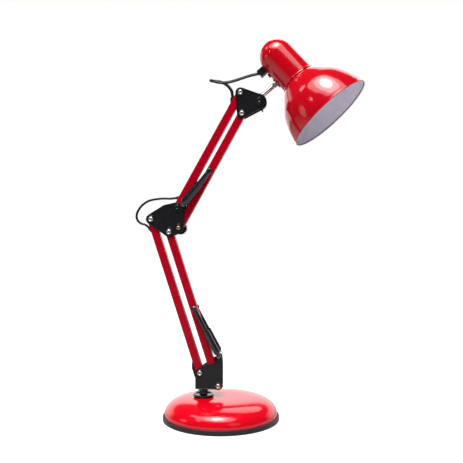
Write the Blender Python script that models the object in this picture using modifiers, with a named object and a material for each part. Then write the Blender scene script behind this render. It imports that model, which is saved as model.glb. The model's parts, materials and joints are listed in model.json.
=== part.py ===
"""Architect desk lamp: a weighted round base, a swivelling bracket, two sprung
parallelogram arms and a bell shade on a chrome rod.

Run it in Blender 4.5. Units are metres and +Z is up. The origin is the middle of
the base's underside. The arms move in the XZ plane; +X is the side that the head
reaches to, and -Y is the front.
"""

import math

import bmesh
import bpy
from mathutils import Matrix, Vector

# ---- driving dimensions -------------------------------------------------------

GAP = 0.0003  # clearance between touching pieces
UP = Vector((0, 0, 1))
BACK = Vector((0, 1, 0))

# base
BASE_R = 0.0893  # rubber rim
COVER_R = 0.0866  # painted cover
COVER_TOP = 0.0335
COVER_FOOT = 0.0020
COVER_SPRING = 0.0080  # height where the dome starts to curve in
COVER_WALL = 0.0010
COVER_POWER = 5.0  # how square the dome's shoulder is
RIM_TOP = 0.0074
PAD_TOP = 0.0016
POST_X = -0.0270  # swivel axis
BUSH_R = 0.0080
PIN_R = 0.0050

# square arm tubes and the plates that hold them
TUBE = 0.0120
TUBE_WALL = 0.0010
TUBE_END = 0.0040  # how far a tube runs past its pivot
PLATE_IN = 0.0066  # plates stand this far from the arm's plane
PLATE_T = 0.0016
PLATE_OUT = PLATE_IN + PLATE_T
RIVET_R = 0.0024
HOLE_R = 0.0027
HEAD_R = 0.0052

# pivots, in the arm's plane
LOWER_PIVOT = Vector((-0.0320, 0, 0.0708))
LOWER_LINK = (0.0346, -35.1)  # length and angle of the lower parallelogram's short side
LOWER_ARM = (0.2482, 107.86)  # length and angle of the lower tubes
KNEE_PIVOT = Vector((-0.0649, 0, 0.2934))
UPPER_LINK = (0.0322, 94.1)
UPPER_ARM = (0.2003, 60.84)
TILT_PIVOT = Vector((0.0595, 0, 0.4860))

# springs
LOWER_HOOK = Vector((-0.0010, 0, 0.0960))
LOWER_PIN_UP = 0.1243  # spring pin's distance along the lower right tube
UPPER_HOOK = Vector((-0.0590, 0, 0.3276))
UPPER_PIN_UP = 0.0990
SPRING_Y = 0.0128  # the springs lie this far to each side of the arm's plane

# head
ROD_R = 0.0035
ROD_RAISE = 41.0  # degrees above the horizontal
ROD_OFFSET = 0.0047  # the rod's line passes this far above the tilt pivot
KNUCKLE_OUT = 0.0355  # knuckle's distance along the rod from the tilt pivot's foot
HEAD_SWIVEL = -8.0  # degrees about the rod
NECK_R = 0.0275
NECK_FROM_KNUCKLE = 0.0309  # knuckle to the neck's axis
KNUCKLE_AXIAL = 0.0304  # knuckle's place along the neck, from the dome's centre
NECK_LONG = 0.0500
SHADE_DEEP = 0.0725
SHADE_R = 0.0677
SHEET_T = 0.0009

# mains lead
CORD_R = 0.0021
CORD_GAP = 0.0009  # between the ends of two stretches of lead
CORD_FROM = 0.0105  # the lead leaves a tube's end at this distance from the pivot
EXIT_HOLE = Vector((-0.0290, 0, 0.0590))  # where it leaves the lower bracket
HANK_LONG = 0.1000
HANK_WIDE = 0.0384
HANK_HIGH = 0.0108
HANK_LOW = 0.0002
HANK_START = Vector((-0.0290, 0.0945, 0))
HANK_DIR = Vector((-0.1127, 0.9936, 0)).normalized()
PLUG_FROM = 0.0400  # the plug's back, along the folded lead
PLUG_HIGH = 0.0140
SLOT_HALF = 0.0031
CORD_IN = 0.0026  # cord's place inside a tube, from its axis
CORD_OUT = 0.0084  # cord's place outside a tube, from its axis
SLOT_FROM = 0.0080  # slot's ends along the tube, from the pivot
SLOT_TO = 0.0290


def polar(length, degrees):
    """A vector in the arm's plane."""
    a = math.radians(degrees)
    return Vector((length * math.cos(a), 0, length * math.sin(a)))


LOWER_RIGHT = LOWER_PIVOT + polar(*LOWER_LINK)
ELBOW_LEFT = LOWER_PIVOT + polar(*LOWER_ARM)
ELBOW_RIGHT = LOWER_RIGHT + polar(*LOWER_ARM)
ELBOW_UPPER = KNEE_PIVOT + polar(*UPPER_LINK)
HEAD_LOWER = KNEE_PIVOT + polar(*UPPER_ARM)
HEAD_UPPER = ELBOW_UPPER + polar(*UPPER_ARM)
LOWER_PIN = LOWER_RIGHT + polar(LOWER_PIN_UP, LOWER_ARM[1]) + polar(0.0020, LOWER_ARM[1] - 90)
UPPER_PIN = KNEE_PIVOT + polar(UPPER_PIN_UP, UPPER_ARM[1])
ROD_DIR = polar(1, ROD_RAISE)
ROD_FOOT = TILT_PIVOT + polar(ROD_OFFSET, ROD_RAISE + 90)
KNUCKLE = ROD_FOOT + ROD_DIR * KNUCKLE_OUT
SWIVEL = Matrix.Rotation(math.radians(HEAD_SWIVEL), 4, ROD_DIR)
ACROSS = SWIVEL.to_3x3() @ BACK  # the knuckle's axis
HEAD_DIR = SWIVEL.to_3x3() @ polar(1, ROD_RAISE - 90)  # from the neck to the mouth
HEAD_START = KNUCKLE + ROD_DIR * NECK_FROM_KNUCKLE - HEAD_DIR * KNUCKLE_AXIAL


def framed(at, x, y, z):
    """A place with the given axes."""
    return Matrix.Translation(at) @ Matrix((x, y, z)).transposed().to_4x4()


HANK_FRAME = framed(HANK_START, Vector((HANK_DIR.y, -HANK_DIR.x, 0)), HANK_DIR, UP)
HEAD_FRAME = framed(HEAD_START, -ROD_DIR, ACROSS, HEAD_DIR)
KNUCKLE_FRAME = framed(KNUCKLE, -HEAD_DIR, ACROSS, ROD_DIR)
WALL = NECK_R + GAP  # pieces sit on the neck at this radius
COLLAR_R = NECK_R - SHEET_T - GAP
INLET = 0.0016  # where the lead enters, along the neck
SWITCH = 0.0120  # where the switch sits, along the neck
ANCHOR = KNUCKLE_AXIAL + 0.0062  # where the fork's stud goes in
GLAND_OUT = 0.0108  # how far the gland stands off the neck
GLAND_MOUTH = HEAD_FRAME @ Vector((WALL + GLAND_OUT + GAP, 0, INLET))

# ---- materials ------------------------------------------------------------------

FINISHES = {
    "red_paint": ((0.60, 0.0, 0.008), 0.12, 0.0),
    "tube_paint": ((0.50, 0.0, 0.015), 0.20, 0.0),
    "black_paint": ((0.018, 0.017, 0.021), 0.30, 0.0),
    "black_plastic": ((0.016, 0.016, 0.019), 0.22, 0.0),
    "black_rubber": ((0.020, 0.020, 0.022), 0.60, 0.0),
    "cord_pvc": ((0.014, 0.013, 0.016), 0.32, 0.0),
    "nickel": ((0.72, 0.71, 0.68), 0.22, 1.0),
    "brass": ((0.52, 0.44, 0.26), 0.32, 1.0),
    "chrome": ((0.86, 0.86, 0.88), 0.05, 1.0),
    "spring_steel": ((0.50, 0.50, 0.51), 0.30, 1.0),
    "cast_iron": ((0.09, 0.09, 0.09), 0.75, 0.6),
    "foam": ((0.05, 0.05, 0.055), 0.9, 0.0),
    "bakelite": ((0.03, 0.028, 0.027), 0.4, 0.0),
}


def material(name):
    found = bpy.data.materials.get(name)
    if found:
        return found
    made = bpy.data.materials.new(name)
    made.use_nodes = True
    colour, roughness, metallic = FINISHES[name]
    shader = made.node_tree.nodes["Principled BSDF"]
    shader.inputs["Base Color"].default_value = (*colour, 1)
    shader.inputs["Roughness"].default_value = roughness
    shader.inputs["Metallic"].default_value = metallic
    made.diffuse_color = (*colour, 1)
    return made


# ---- scene and object helpers ---------------------------------------------------


def empty_scene():
    for o in list(bpy.data.objects):
        bpy.data.objects.remove(o, do_unlink=True)


empty_scene()
PARTS = bpy.data.collections.new("desk_lamp")
CUTTERS = bpy.data.collections.new("cutters")
for group in (PARTS, CUTTERS):
    bpy.context.scene.collection.children.link(group)


def add(name, data, finish, group=None):
    o = bpy.data.objects.new(name, data)
    (group or PARTS).objects.link(o)
    if finish:
        data.materials.append(material(finish))
    return o


def cutter(o):
    """Turns a piece into a hidden cutting tool."""
    for group in list(o.users_collection):
        group.objects.unlink(o)
    CUTTERS.objects.link(o)
    o.hide_render = True
    o.display_type = "WIRE"
    return o


def mesh_of(bm, name):
    mesh = bpy.data.meshes.new(name)
    bm.to_mesh(mesh)
    bm.free()
    return mesh


def turn_to(direction, at=Vector((0, 0, 0))):
    """Matrix that turns +Z to direction and moves the origin to at."""
    return Matrix.Translation(at) @ direction.to_track_quat("Z", "Y").to_matrix().to_4x4()


def smooth(o, angle=40):
    if o.type == "MESH":
        o.data.shade_smooth()
        o.data.set_sharp_from_angle(angle=math.radians(angle))
    return o


def boolean(o, tool, operation):
    m = o.modifiers.new(f"{operation.lower()}_{tool.name}", "BOOLEAN")
    m.operation = operation
    m.solver = "EXACT"
    m.object = cutter(tool)
    return o


def cut(o, *tools):
    for tool in tools:
        boolean(o, tool, "DIFFERENCE")
    return o


def join(o, *tools):
    for tool in tools:
        boolean(o, tool, "UNION")
    return o


def rod(name, start, end, radius, finish=None, sides=16):
    """A solid cylinder from start to end."""
    bm = bmesh.new()
    bmesh.ops.create_cone(
        bm,
        cap_ends=True,
        segments=sides,
        radius1=radius,
        radius2=radius,
        depth=(end - start).length,
    )
    o = add(name, mesh_of(bm, name), finish)
    o.matrix_world = turn_to((end - start).normalized(), (start + end) / 2)
    return smooth(o)


def cross_pin(name, at, half, radius, finish=None, sides=16):
    """A cylinder across the arm's plane, centred on it."""
    return rod(name, at - BACK * half, at + BACK * half, radius, finish, sides)


def block(name, low, high, finish=None):
    """A box between two corners."""
    bm = bmesh.new()
    bmesh.ops.create_cube(bm, size=1)
    size = Vector(high) - Vector(low)
    bmesh.ops.scale(bm, vec=size, verts=bm.verts)
    o = add(name, mesh_of(bm, name), finish)
    o.location = (Vector(low) + Vector(high)) / 2
    return o


def bevel(o, width, segments=2):
    m = o.modifiers.new("bevel", "BEVEL")
    m.width = width
    m.segments = segments
    m.limit_method = "ANGLE"
    m.angle_limit = math.radians(50)
    return o


def turned(name, profile, finish=None, steps=32, closed=False, wall=0.0, offset=-1.0):
    """Turns a profile of (radius, height) points about Z. An open profile that leaves
    and meets the axis makes a solid, a closed one a ring, and wall makes a shell."""
    bm = bmesh.new()
    points = [bm.verts.new((r, 0, z)) for r, z in profile]
    for a, b in zip(points, points[1:]):
        bm.edges.new((a, b))
    if closed:
        bm.edges.new((points[-1], points[0]))
    o = add(name, mesh_of(bm, name), finish)
    screw = o.modifiers.new("screw", "SCREW")
    screw.axis = "Z"
    screw.steps = steps
    screw.render_steps = steps
    screw.use_merge_vertices = True
    screw.merge_threshold = 0.00001
    if wall:
        solid = o.modifiers.new("wall", "SOLIDIFY")
        solid.thickness = wall
        solid.offset = offset
    return o


def outline_plate(name, outline, low_y, high_y, finish):
    """A flat plate in the XZ plane, between two depths, from a list of (x, z)."""
    curve = bpy.data.curves.new(name, "CURVE")
    curve.dimensions = "2D"
    curve.fill_mode = "BOTH"
    curve.extrude = (high_y - low_y) / 2
    spline = curve.splines.new("POLY")
    spline.points.add(len(outline) - 1)
    for point, (x, z) in zip(spline.points, outline):
        point.co = (x, z, 0, 1)
    spline.use_cyclic_u = True
    o = add(name, curve, finish)
    o.matrix_world = Matrix.Translation((0, (low_y + high_y) / 2, 0)) @ Matrix.Rotation(
        math.radians(90), 4, "X"
    )
    return meshed(o)


def meshed(o):
    """The evaluated curve as a welded mesh object of the same name, so it can be cut."""
    bpy.context.view_layer.update()
    evaluated = o.evaluated_get(bpy.context.evaluated_depsgraph_get())
    mesh = bpy.data.meshes.new_from_object(evaluated)
    bm = bmesh.new()
    bm.from_mesh(mesh)
    bmesh.ops.remove_doubles(bm, verts=bm.verts, dist=0.00001)
    bm.to_mesh(mesh)
    bm.free()
    name, place = o.name, o.matrix_world.copy()
    bpy.data.objects.remove(o, do_unlink=True)
    made = bpy.data.objects.new(name, mesh)
    PARTS.objects.link(made)
    made.matrix_world = place
    return made


# ---- outlines -------------------------------------------------------------------


def arc(centre, radius, start, end, steps):
    """Points counter-clockwise from one angle to another, in radians."""
    while end < start:
        end += 2 * math.pi
    return [
        (
            centre[0] + radius * math.cos(start + (end - start) * i / steps),
            centre[1] + radius * math.sin(start + (end - start) * i / steps),
        )
        for i in range(steps + 1)
    ]


def belt(circles, steps=5):
    """The outline of a belt round circles (x, z, radius), listed counter-clockwise."""
    normals = []
    for (ax, az, ar), (bx, bz, br) in zip(circles, circles[1:] + circles[:1]):
        far = math.hypot(bx - ax, bz - az)
        normals.append(math.atan2(bz - az, bx - ax) - math.acos((ar - br) / far))
    points = []
    for i, (x, z, radius) in enumerate(circles):
        points += arc((x, z), radius, normals[i - 1], normals[i], steps)
    return points


def filleted(corners, steps=3):
    """A polygon whose corners (x, z, radius) are rounded."""
    points = []
    for i, (x, z, radius) in enumerate(corners):
        here = Vector((x, z))
        before = (Vector(corners[i - 1][:2]) - here).normalized()
        after = (Vector(corners[(i + 1) % len(corners)][:2]) - here).normalized()
        half = before.angle(after) / 2
        reach = radius / math.tan(half)
        centre = here + (before + after).normalized() * (radius / math.sin(half))
        for k in range(steps + 1):
            t = k / steps
            edge = (here + before * reach).lerp(here + after * reach, t) - centre
            points.append(tuple(centre + edge.normalized() * radius))
    return points


# ---- routes for cords -----------------------------------------------------------


def smooth_route(points, spacing):
    """Points about spacing apart on a Catmull-Rom curve through the given ones."""
    p = [Vector(q) for q in points]
    ends = [p[0] * 2 - p[1], *p, p[-1] * 2 - p[-2]]
    fine = []
    for a, b, c, d in zip(ends, ends[1:], ends[2:], ends[3:]):
        for i in range(20):
            t = i / 20
            fine.append(
                (
                    b * 2
                    + (c - a) * t
                    + (a * 2 - b * 5 + c * 4 - d) * t * t
                    + (b * 3 - a - c * 3 + d) * t * t * t
                )
                / 2
            )
    fine.append(p[-1])
    total = sum((b - a).length for a, b in zip(fine, fine[1:]))
    wanted = max(2, round(total / spacing))
    kept, gone, following = [fine[0]], 0.0, total / wanted
    for a, b in zip(fine, fine[1:]):
        step = (b - a).length
        while gone + step >= following - 1e-9 and len(kept) < wanted:
            kept.append(a.lerp(b, (following - gone) / step))
            following += total / wanted
        gone += step
    return [*kept, fine[-1]]


def cord(name, points, spacing=0.012):
    """A plain tube along a smooth route."""
    curve = bpy.data.curves.new(name, "CURVE")
    curve.dimensions = "3D"
    curve.bevel_depth = CORD_R
    curve.bevel_resolution = 2
    curve.use_fill_caps = True
    route = smooth_route(points, spacing)
    spline = curve.splines.new("POLY")
    spline.points.add(len(route) - 1)
    for point, place in zip(spline.points, route):
        point.co = (*place, 1)
    return add(name, curve, "cord_pvc")


HEAD_LOOP = [
    (0.0510, 0.0016, 0.5290),
    (0.0430, -0.0006, 0.5266),
    (0.0328, -0.0032, 0.5228),
    (0.0215, -0.0062, 0.5186),
    (0.0106, -0.0088, 0.5156),
    (-0.0004, -0.0106, 0.5150),
    (-0.0108, -0.0080, 0.5180),
    (-0.0158, 0.0000, 0.5208),
    (-0.0120, 0.0078, 0.5216),
    (-0.0026, 0.0096, 0.5208),
    (0.0060, 0.0074, 0.5170),
    (0.0120, 0.0048, 0.5112),
    (0.0162, 0.0020, 0.5046),
]
ELBOW_LOOP = [
    (-0.0790, 0, 0.3388),
    (-0.0868, 0, 0.3391),
    (-0.0966, 0, 0.3386),
    (-0.1106, 0, 0.3362),
    (-0.1211, 0, 0.3304),
    (-0.1289, 0, 0.3214),
    (-0.1319, 0, 0.3124),
    (-0.1302, 0, 0.3053),
    (-0.1250, 0, 0.3005),
    (-0.1184, 0, 0.2986),
]
BRACKET_WAY = [
    (-0.0414, 0, 0.0735),
    (-0.0398, 0, 0.0682),
    (-0.0384, 0, 0.0638),
    (-0.0357, 0, 0.0607),
    (-0.0320, 0.0010, 0.0594),
    (-0.0296, 0.0038, 0.0590),
    (-0.0290, 0.0085, 0.0590),
    (-0.0290, 0.0170, 0.0590),
    (-0.0290, 0.0266, 0.0590),
]
FLOOR_WAY = [
    (-0.0290, 0.0273, 0.0590),
    (-0.0290, 0.0326, 0.0585),
    (-0.0291, 0.0388, 0.0540),
    (-0.0294, 0.0440, 0.0465),
    (-0.0300, 0.0500, 0.0403),
    (-0.0312, 0.0570, 0.0358),
    (-0.0330, 0.0650, 0.0316),
    (-0.0352, 0.0732, 0.0256),
    (-0.0375, 0.0792, 0.0192),
    (-0.0394, 0.0840, 0.0138),
    (-0.0414, 0.0890, 0.0100),
    (-0.0430, 0.0950, 0.0084),
]


# ---- bodies ---------------------------------------------------------------------


def pivot(name, at, parent=None):
    """An empty on a joint's axis, which carries the pieces that turn there."""
    o = bpy.data.objects.new(name, None)
    PARTS.objects.link(o)
    o.empty_display_size = 0.01
    o.matrix_world = Matrix.Translation(at)
    if parent:
        hang(parent, o)
    return o


def hang(parent, *pieces):
    """Parents pieces to an empty and leaves them where they are."""
    bpy.context.view_layer.update()
    for piece in pieces:
        place = piece.matrix_world.copy()
        piece.parent = parent
        piece.matrix_parent_inverse = parent.matrix_world.inverted()
        piece.matrix_world = place
    return parent


# ---- base -----------------------------------------------------------------------


def cover_profile(steps):
    """The dome's outer line, from the middle out and down to its foot."""
    rise = COVER_TOP - COVER_SPRING
    points = []
    for i in range(steps + 1):
        a = math.pi / 2 * i / steps
        points.append(
            (COVER_R * math.sin(a) ** (2 / COVER_POWER), COVER_SPRING + rise * math.cos(a))
        )
    return [*points, (COVER_R, COVER_FOOT)]


def make_base():
    cover = turned("base_cover", cover_profile(9), "red_paint", 40, wall=COVER_WALL)
    post = Vector((POST_X, 0, 0))
    hole = BUSH_R + GAP
    cut(cover, rod("cut_cover", post + UP * 0.025, post + UP * 0.045, hole, sides=20))

    channel = COVER_R + 0.0004
    rim = turned(
        "base_rim",
        [
            (channel, RIM_TOP),
            (BASE_R - 0.0008, RIM_TOP),
            (BASE_R, RIM_TOP - 0.0008),
            (BASE_R, 0.0008),
            (BASE_R - 0.0008, 0),
            (0.0798, 0),
            (0.0798, COVER_FOOT - GAP),
            (channel, COVER_FOOT - GAP),
        ],
        "black_rubber",
        40,
        closed=True,
    )
    pad = turned(
        "base_pad", [(0, PAD_TOP), (0.0790, PAD_TOP), (0.0790, 0), (0, 0)], "foam", 32
    )

    low, high = COVER_FOOT, 0.0140
    weight = turned(
        "base_weight",
        [(0, high), (0.0700, high), (0.0740, high - 0.004), (0.0740, low), (0, low)],
        "cast_iron",
        32,
    )
    join(weight, rod("weight_boss", post + UP * 0.006, post + UP * 0.0315, 0.0140, sides=20))
    cut(weight, rod("cut_weight", post, post + UP * 0.040, hole, sides=20))

    bush = turned(
        "post_bush",
        [
            (0, 0.0110),
            (PIN_R + GAP, 0.0110),
            (PIN_R + GAP, COVER_TOP),
            (BUSH_R, COVER_TOP),
            (BUSH_R, 0.0030),
            (0, 0.0030),
        ],
        "nickel",
        20,
    )
    collar = turned(
        "post_collar",
        [
            (PIN_R + GAP, 0.0368),
            (0.0130, 0.0368),
            (0.0148, 0.0376),
            (0.0160, 0.0368),
            (0.0160, 0.0352),
            (0.0146, COVER_TOP + GAP),
            (PIN_R + GAP, COVER_TOP + GAP),
        ],
        "black_plastic",
        28,
        closed=True,
    )
    for piece in (bush, collar):
        piece.location = post
    pieces = [cover, rim, pad, weight, bush, collar]
    for piece in pieces:
        smooth(piece)
    return pieces


# ---- plates, rivets and tubes ---------------------------------------------------


def plate_pair(name, outline, holes, back_holes=()):
    """Two matching plates, with holes (place, radius) through both."""
    made = []
    for side, low in (("front", -PLATE_OUT), ("back", PLATE_IN)):
        plate = outline_plate(f"{name}_{side}", outline, low, low + PLATE_T, "black_paint")
        for i, (at, radius) in enumerate([*holes, *(back_holes if side == "back" else ())]):
            middle = at + BACK * (low + PLATE_T / 2)
            tool = cross_pin(f"cut_{name}_{side}_{i}", middle, PLATE_T, radius, sides=12)
            cut(plate, tool)
        made.append(plate)
    return made


def rivet(name, at, finish="nickel", steps=12):
    """A solid rivet across both plates, with a domed head at each end."""
    under, crown, edge = PLATE_OUT + GAP, PLATE_OUT + 0.0020, PLATE_OUT + 0.0009
    half = [(0, crown), (HEAD_R * 0.68, crown - 0.0002), (HEAD_R, edge), (HEAD_R, under)]
    half.append((RIVET_R, under))
    profile = half + [(r, -z) for r, z in reversed(half)]
    o = turned(name, profile, finish, steps)
    o.matrix_world = turn_to(BACK, at)
    return smooth(o)


def square_tube(name, start, end, slots=(), pin_at=None):
    """A hollow square tube between two pivots, with slots for the cord in its left
    wall, given as distances (from, to) along it."""
    along = (end - start).normalized()
    left = Vector((-along.z, 0, along.x))
    long = (end - start).length + 2 * TUBE_END
    curve = bpy.data.curves.new(name, "CURVE")
    curve.dimensions = "2D"
    curve.fill_mode = "BOTH"
    curve.extrude = long / 2
    for half, radius in ((TUBE / 2, 0.0012), (TUBE / 2 - TUBE_WALL, 0.0004)):
        corners = [(-half, -half, radius), (half, -half, radius)]
        corners += [(half, half, radius), (-half, half, radius)]
        outline = filleted(corners, 2)
        spline = curve.splines.new("POLY")
        spline.points.add(len(outline) - 1)
        for point, (x, y) in zip(spline.points, outline):
            point.co = (x, y, 0, 1)
        spline.use_cyclic_u = True
    o = add(name, curve, "tube_paint")
    frame = Matrix((left, BACK, along)).transposed().to_4x4()
    if frame.determinant() < 0:
        frame = Matrix((left, -BACK, along)).transposed().to_4x4()
    o.matrix_world = Matrix.Translation((start + end) / 2) @ frame
    tube = meshed(o)
    for i, at in enumerate((start, end)):
        cut(tube, cross_pin(f"cut_{name}_{i}", at, TUBE, HOLE_R, sides=12))
    if pin_at:
        cut(tube, cross_pin(f"cut_{name}_pin", pin_at, TUBE, 0.0021, sides=12))
    for i, (low, high) in enumerate(slots):
        tool = block(
            f"cut_{name}_slot_{i}",
            (TUBE / 2 - 2 * TUBE_WALL, -SLOT_HALF, low),
            (TUBE / 2 + TUBE_WALL, SLOT_HALF, high),
        )
        bpy.context.view_layer.update()
        local = tool.matrix_world.copy()
        tool.matrix_world = Matrix.Translation(start) @ frame @ local
        cut(tube, tool)
    return tube



# ---- springs and their covers ---------------------------------------------------


def cover_tube(name, origin, direction, profile, side):
    """A thin tapered tube beside the arm's plane. The profile gives (distance, outer
    radius, wall) along direction from origin."""
    outer = [(radius, far) for far, radius, wall in profile]
    inner = [(radius - wall, far) for far, radius, wall in profile]
    line = list(reversed(outer)) + inner
    o = turned(name, line, "black_plastic", 16, closed=True)
    o.matrix_world = turn_to(direction, origin + BACK * side * SPRING_Y)
    return smooth(o)


def yoke(name, pin, direction, near, radius, far, wide):
    """The pin through a tube, with the inner cover of each spring hanging from it. A
    cover runs from near to far from the pin, and its radius grows to wide."""
    out, wall = SPRING_Y + 0.0042, 0.0005
    half = [(0, out), (0.0030, out), (0.0044, out - 0.0012), (0.0044, out - 0.0024)]
    half.append((0.0018, out - 0.0024))
    shaft = turned(name, half + [(r, -z) for r, z in reversed(half)], "black_plastic", 14)
    shaft.matrix_world = turn_to(BACK, pin)
    for side in (-1, 1):
        middle = pin + BACK * side * SPRING_Y
        line = [(0, near + 0.0010), (radius - wall, near + 0.0014), (wide - wall, far)]
        line += [(wide, far), (radius, near + 0.0008), (radius - 0.0008, near), (0.0012, near)]
        line += [(0.0012, 0.0010), (0, 0.0010)]
        cover = turned(f"{name}_cover_{side}", line, None, 16)
        cover.matrix_world = turn_to(direction, middle)
        eye = cross_pin(f"{name}_eye_{side}", middle, 0.0012, 0.0032, sides=14)
        join(shaft, eye, cover)
    return smooth(shaft)


def spring(name, hook, pin, radius, side):
    """An extension spring as a plain tube, with a leg that hooks into its plate."""
    away = (pin - hook).normalized()
    long = (pin - hook).length
    wire = 0.0007
    middle = hook + BACK * side * SPRING_Y
    line = [(0, long - 0.0105), (radius, long - 0.0125), (radius, 0.0140), (0, 0.0105)]
    coil = turned(name, line, "spring_steel", 10)
    coil.matrix_world = turn_to(away, middle)
    leg = rod(f"{name}_leg", middle - away * wire, middle + away * 0.0130, wire, sides=8)
    inside = hook + BACK * side * (PLATE_IN - 0.0002)
    hooked = rod(f"{name}_hook", inside, middle, wire, sides=8)
    return smooth(join(coil, leg, hooked))


def sprung(name, hook, pin, radius, inner, outer):
    """Both springs between a bracket's hooks and a tube's pin, with their covers."""
    away = (pin - hook).normalized()
    foot = []
    for side, word in ((-1, "front"), (1, "back")):
        foot.append(cover_tube(f"{name}_cover_{word}", hook, away, outer, side))
        foot.append(spring(f"{name}_spring_{word}", hook, pin, radius, side))
    return yoke(f"{name}_spring_yoke", pin, -away, *inner), foot


def make_lower_springs():
    outer = [(0.0093, 0.0050, 0.0005), (0.0430, 0.0044, 0.0005), (0.0450, 0.0042, 0.0003)]
    inner = (0.0062, 0.0031, 0.0520, 0.0036)
    return sprung("lower", LOWER_HOOK, LOWER_PIN, 0.0022, inner, outer)


def make_upper_springs():
    outer = [(0.0080, 0.0061, 0.0006), (0.0360, 0.0053, 0.0005), (0.0380, 0.0050, 0.0004)]
    inner = (0.0062, 0.0040, 0.0550, 0.0044)
    return sprung("upper", UPPER_HOOK, UPPER_PIN, 0.0030, inner, outer)


# ---- lower bracket --------------------------------------------------------------


def make_lower_bracket():
    left, right, foot = -0.0390, 0.0026, 0.0460
    outline = filleted(
        [
            (left, foot, 0.0015),
            (right, foot, 0.0042),
            (right, 0.0856, 0.0060),
            (0.0014, 0.0988, 0.0022),
            (-0.0044, 0.0988, 0.0022),
            (-0.0090, 0.0850, 0.0030),
            (-0.0207, 0.0852, 0.0050),
            (left, 0.0750, 0.0060),
        ]
    )
    plates = plate_pair(
        "lower_plate",
        outline,
        [(LOWER_PIVOT, HOLE_R), (LOWER_RIGHT, HOLE_R), (LOWER_HOOK, 0.0012)],
        [(EXIT_HOLE, 0.0030)],
    )
    inside = PLATE_IN - GAP
    corner = (left + 0.0006, -inside, foot)
    seat = block("lower_seat", corner, (-0.0105, inside, foot + 0.0016), "black_paint")
    join(seat, block("seat_block", (-0.0330, -inside, foot + 0.0006), (-0.0140, inside, 0.0545)))
    post = Vector((POST_X, 0, 0))
    cut(seat, rod("cut_seat", post + UP * 0.040, post + UP * 0.060, 0.0043))
    stem = turned(
        "swivel_stem",
        [
            (0, 0.0540),
            (0.0040, 0.0540),
            (0.0040, foot - GAP),
            (0.0068, foot - GAP),
            (0.0068, 0.0418),
            (0.0111, 0.0415),
            (0.0111, 0.0402),
            (0.0068, 0.0399),
            (0.0068, 0.0379),
            (PIN_R, 0.0379),
            (PIN_R, 0.0120),
            (0, 0.0120),
        ],
        "black_plastic",
        20,
    )
    stem.location = post
    fasteners = [
        rivet("lower_rivet_left", LOWER_PIVOT),
        rivet("lower_rivet_right", LOWER_RIGHT),
    ]
    relief = turned(
        "cord_relief",
        [
            (CORD_R + GAP, 0.0185),
            (0.0032, 0.0185),
            (0.0038, 0.0016),
            (0.0047, 0.0015),
            (0.0047, 0),
            (CORD_R + GAP, 0),
        ],
        "black_rubber",
        14,
        closed=True,
    )
    relief.matrix_world = turn_to(BACK, EXIT_HOLE + BACK * (PLATE_OUT + GAP))
    for piece in (seat, stem, relief):
        smooth(piece)
    return [*plates, seat, stem, *fasteners, relief]


# ---- elbow ----------------------------------------------------------------------


def make_elbow():
    outline = belt(
        [
            (ELBOW_LEFT.x, ELBOW_LEFT.z, 0.0078),
            (ELBOW_RIGHT.x, ELBOW_RIGHT.z, 0.0076),
            (KNEE_PIVOT.x, KNEE_PIVOT.z, 0.0080),
            (UPPER_HOOK.x - 0.0002, UPPER_HOOK.z - 0.0010, 0.0042),
            (-0.0678, 0.3252, 0.0078),
            (-0.0838, 0.3184, 0.0110),
        ],
        4,
    )
    pivots = (ELBOW_LEFT, ELBOW_RIGHT, KNEE_PIVOT, ELBOW_UPPER)
    holes = [(at, HOLE_R) for at in pivots] + [(UPPER_HOOK, 0.0012)]
    plates = plate_pair("elbow_plate", outline, holes)
    fasteners = [
        rivet("elbow_rivet_left", ELBOW_LEFT),
        rivet("elbow_rivet_right", ELBOW_RIGHT),
        rivet("elbow_rivet_upper", ELBOW_UPPER),
    ]
    head, thread = PLATE_OUT + 0.0024, 0.0205
    bolt = turned(
        "elbow_bolt",
        [
            (0, thread),
            (RIVET_R, thread),
            (RIVET_R, -(PLATE_OUT + GAP)),
            (0.0046, -(PLATE_OUT + GAP)),
            (0.0046, -(PLATE_OUT + 0.0012)),
            (0.0030, -head),
            (0, -head),
        ],
        "brass",
        12,
    )
    bolt.matrix_world = turn_to(BACK, KNEE_PIVOT)
    return [*plates, *fasteners, smooth(bolt)]


def make_elbow_knob():
    """A serrated hand nut on the back end of the elbow bolt."""
    low, high, radius, teeth = PLATE_OUT + GAP, 0.0196, 0.0103, 18
    outline = []
    for i in range(teeth):
        for k, r in ((0, radius), (0.5, radius), (0.62, radius - 0.0009), (0.88, radius - 0.0009)):
            a = 2 * math.pi * (i + k) / teeth
            outline.append((KNEE_PIVOT.x + r * math.cos(a), KNEE_PIVOT.z + r * math.sin(a)))
    knob = outline_plate("elbow_knob", outline, low + 0.0020, high, "black_plastic")
    neck = cross_pin("knob_neck", KNEE_PIVOT + BACK * (low + 0.0030), 0.0030, 0.0062, sides=20)
    cut(join(knob, neck), cross_pin("cut_knob", KNEE_PIVOT + BACK * 0.015, 0.015, RIVET_R + GAP, sides=12))
    return smooth(knob)


# ---- head bracket ---------------------------------------------------------------


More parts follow.
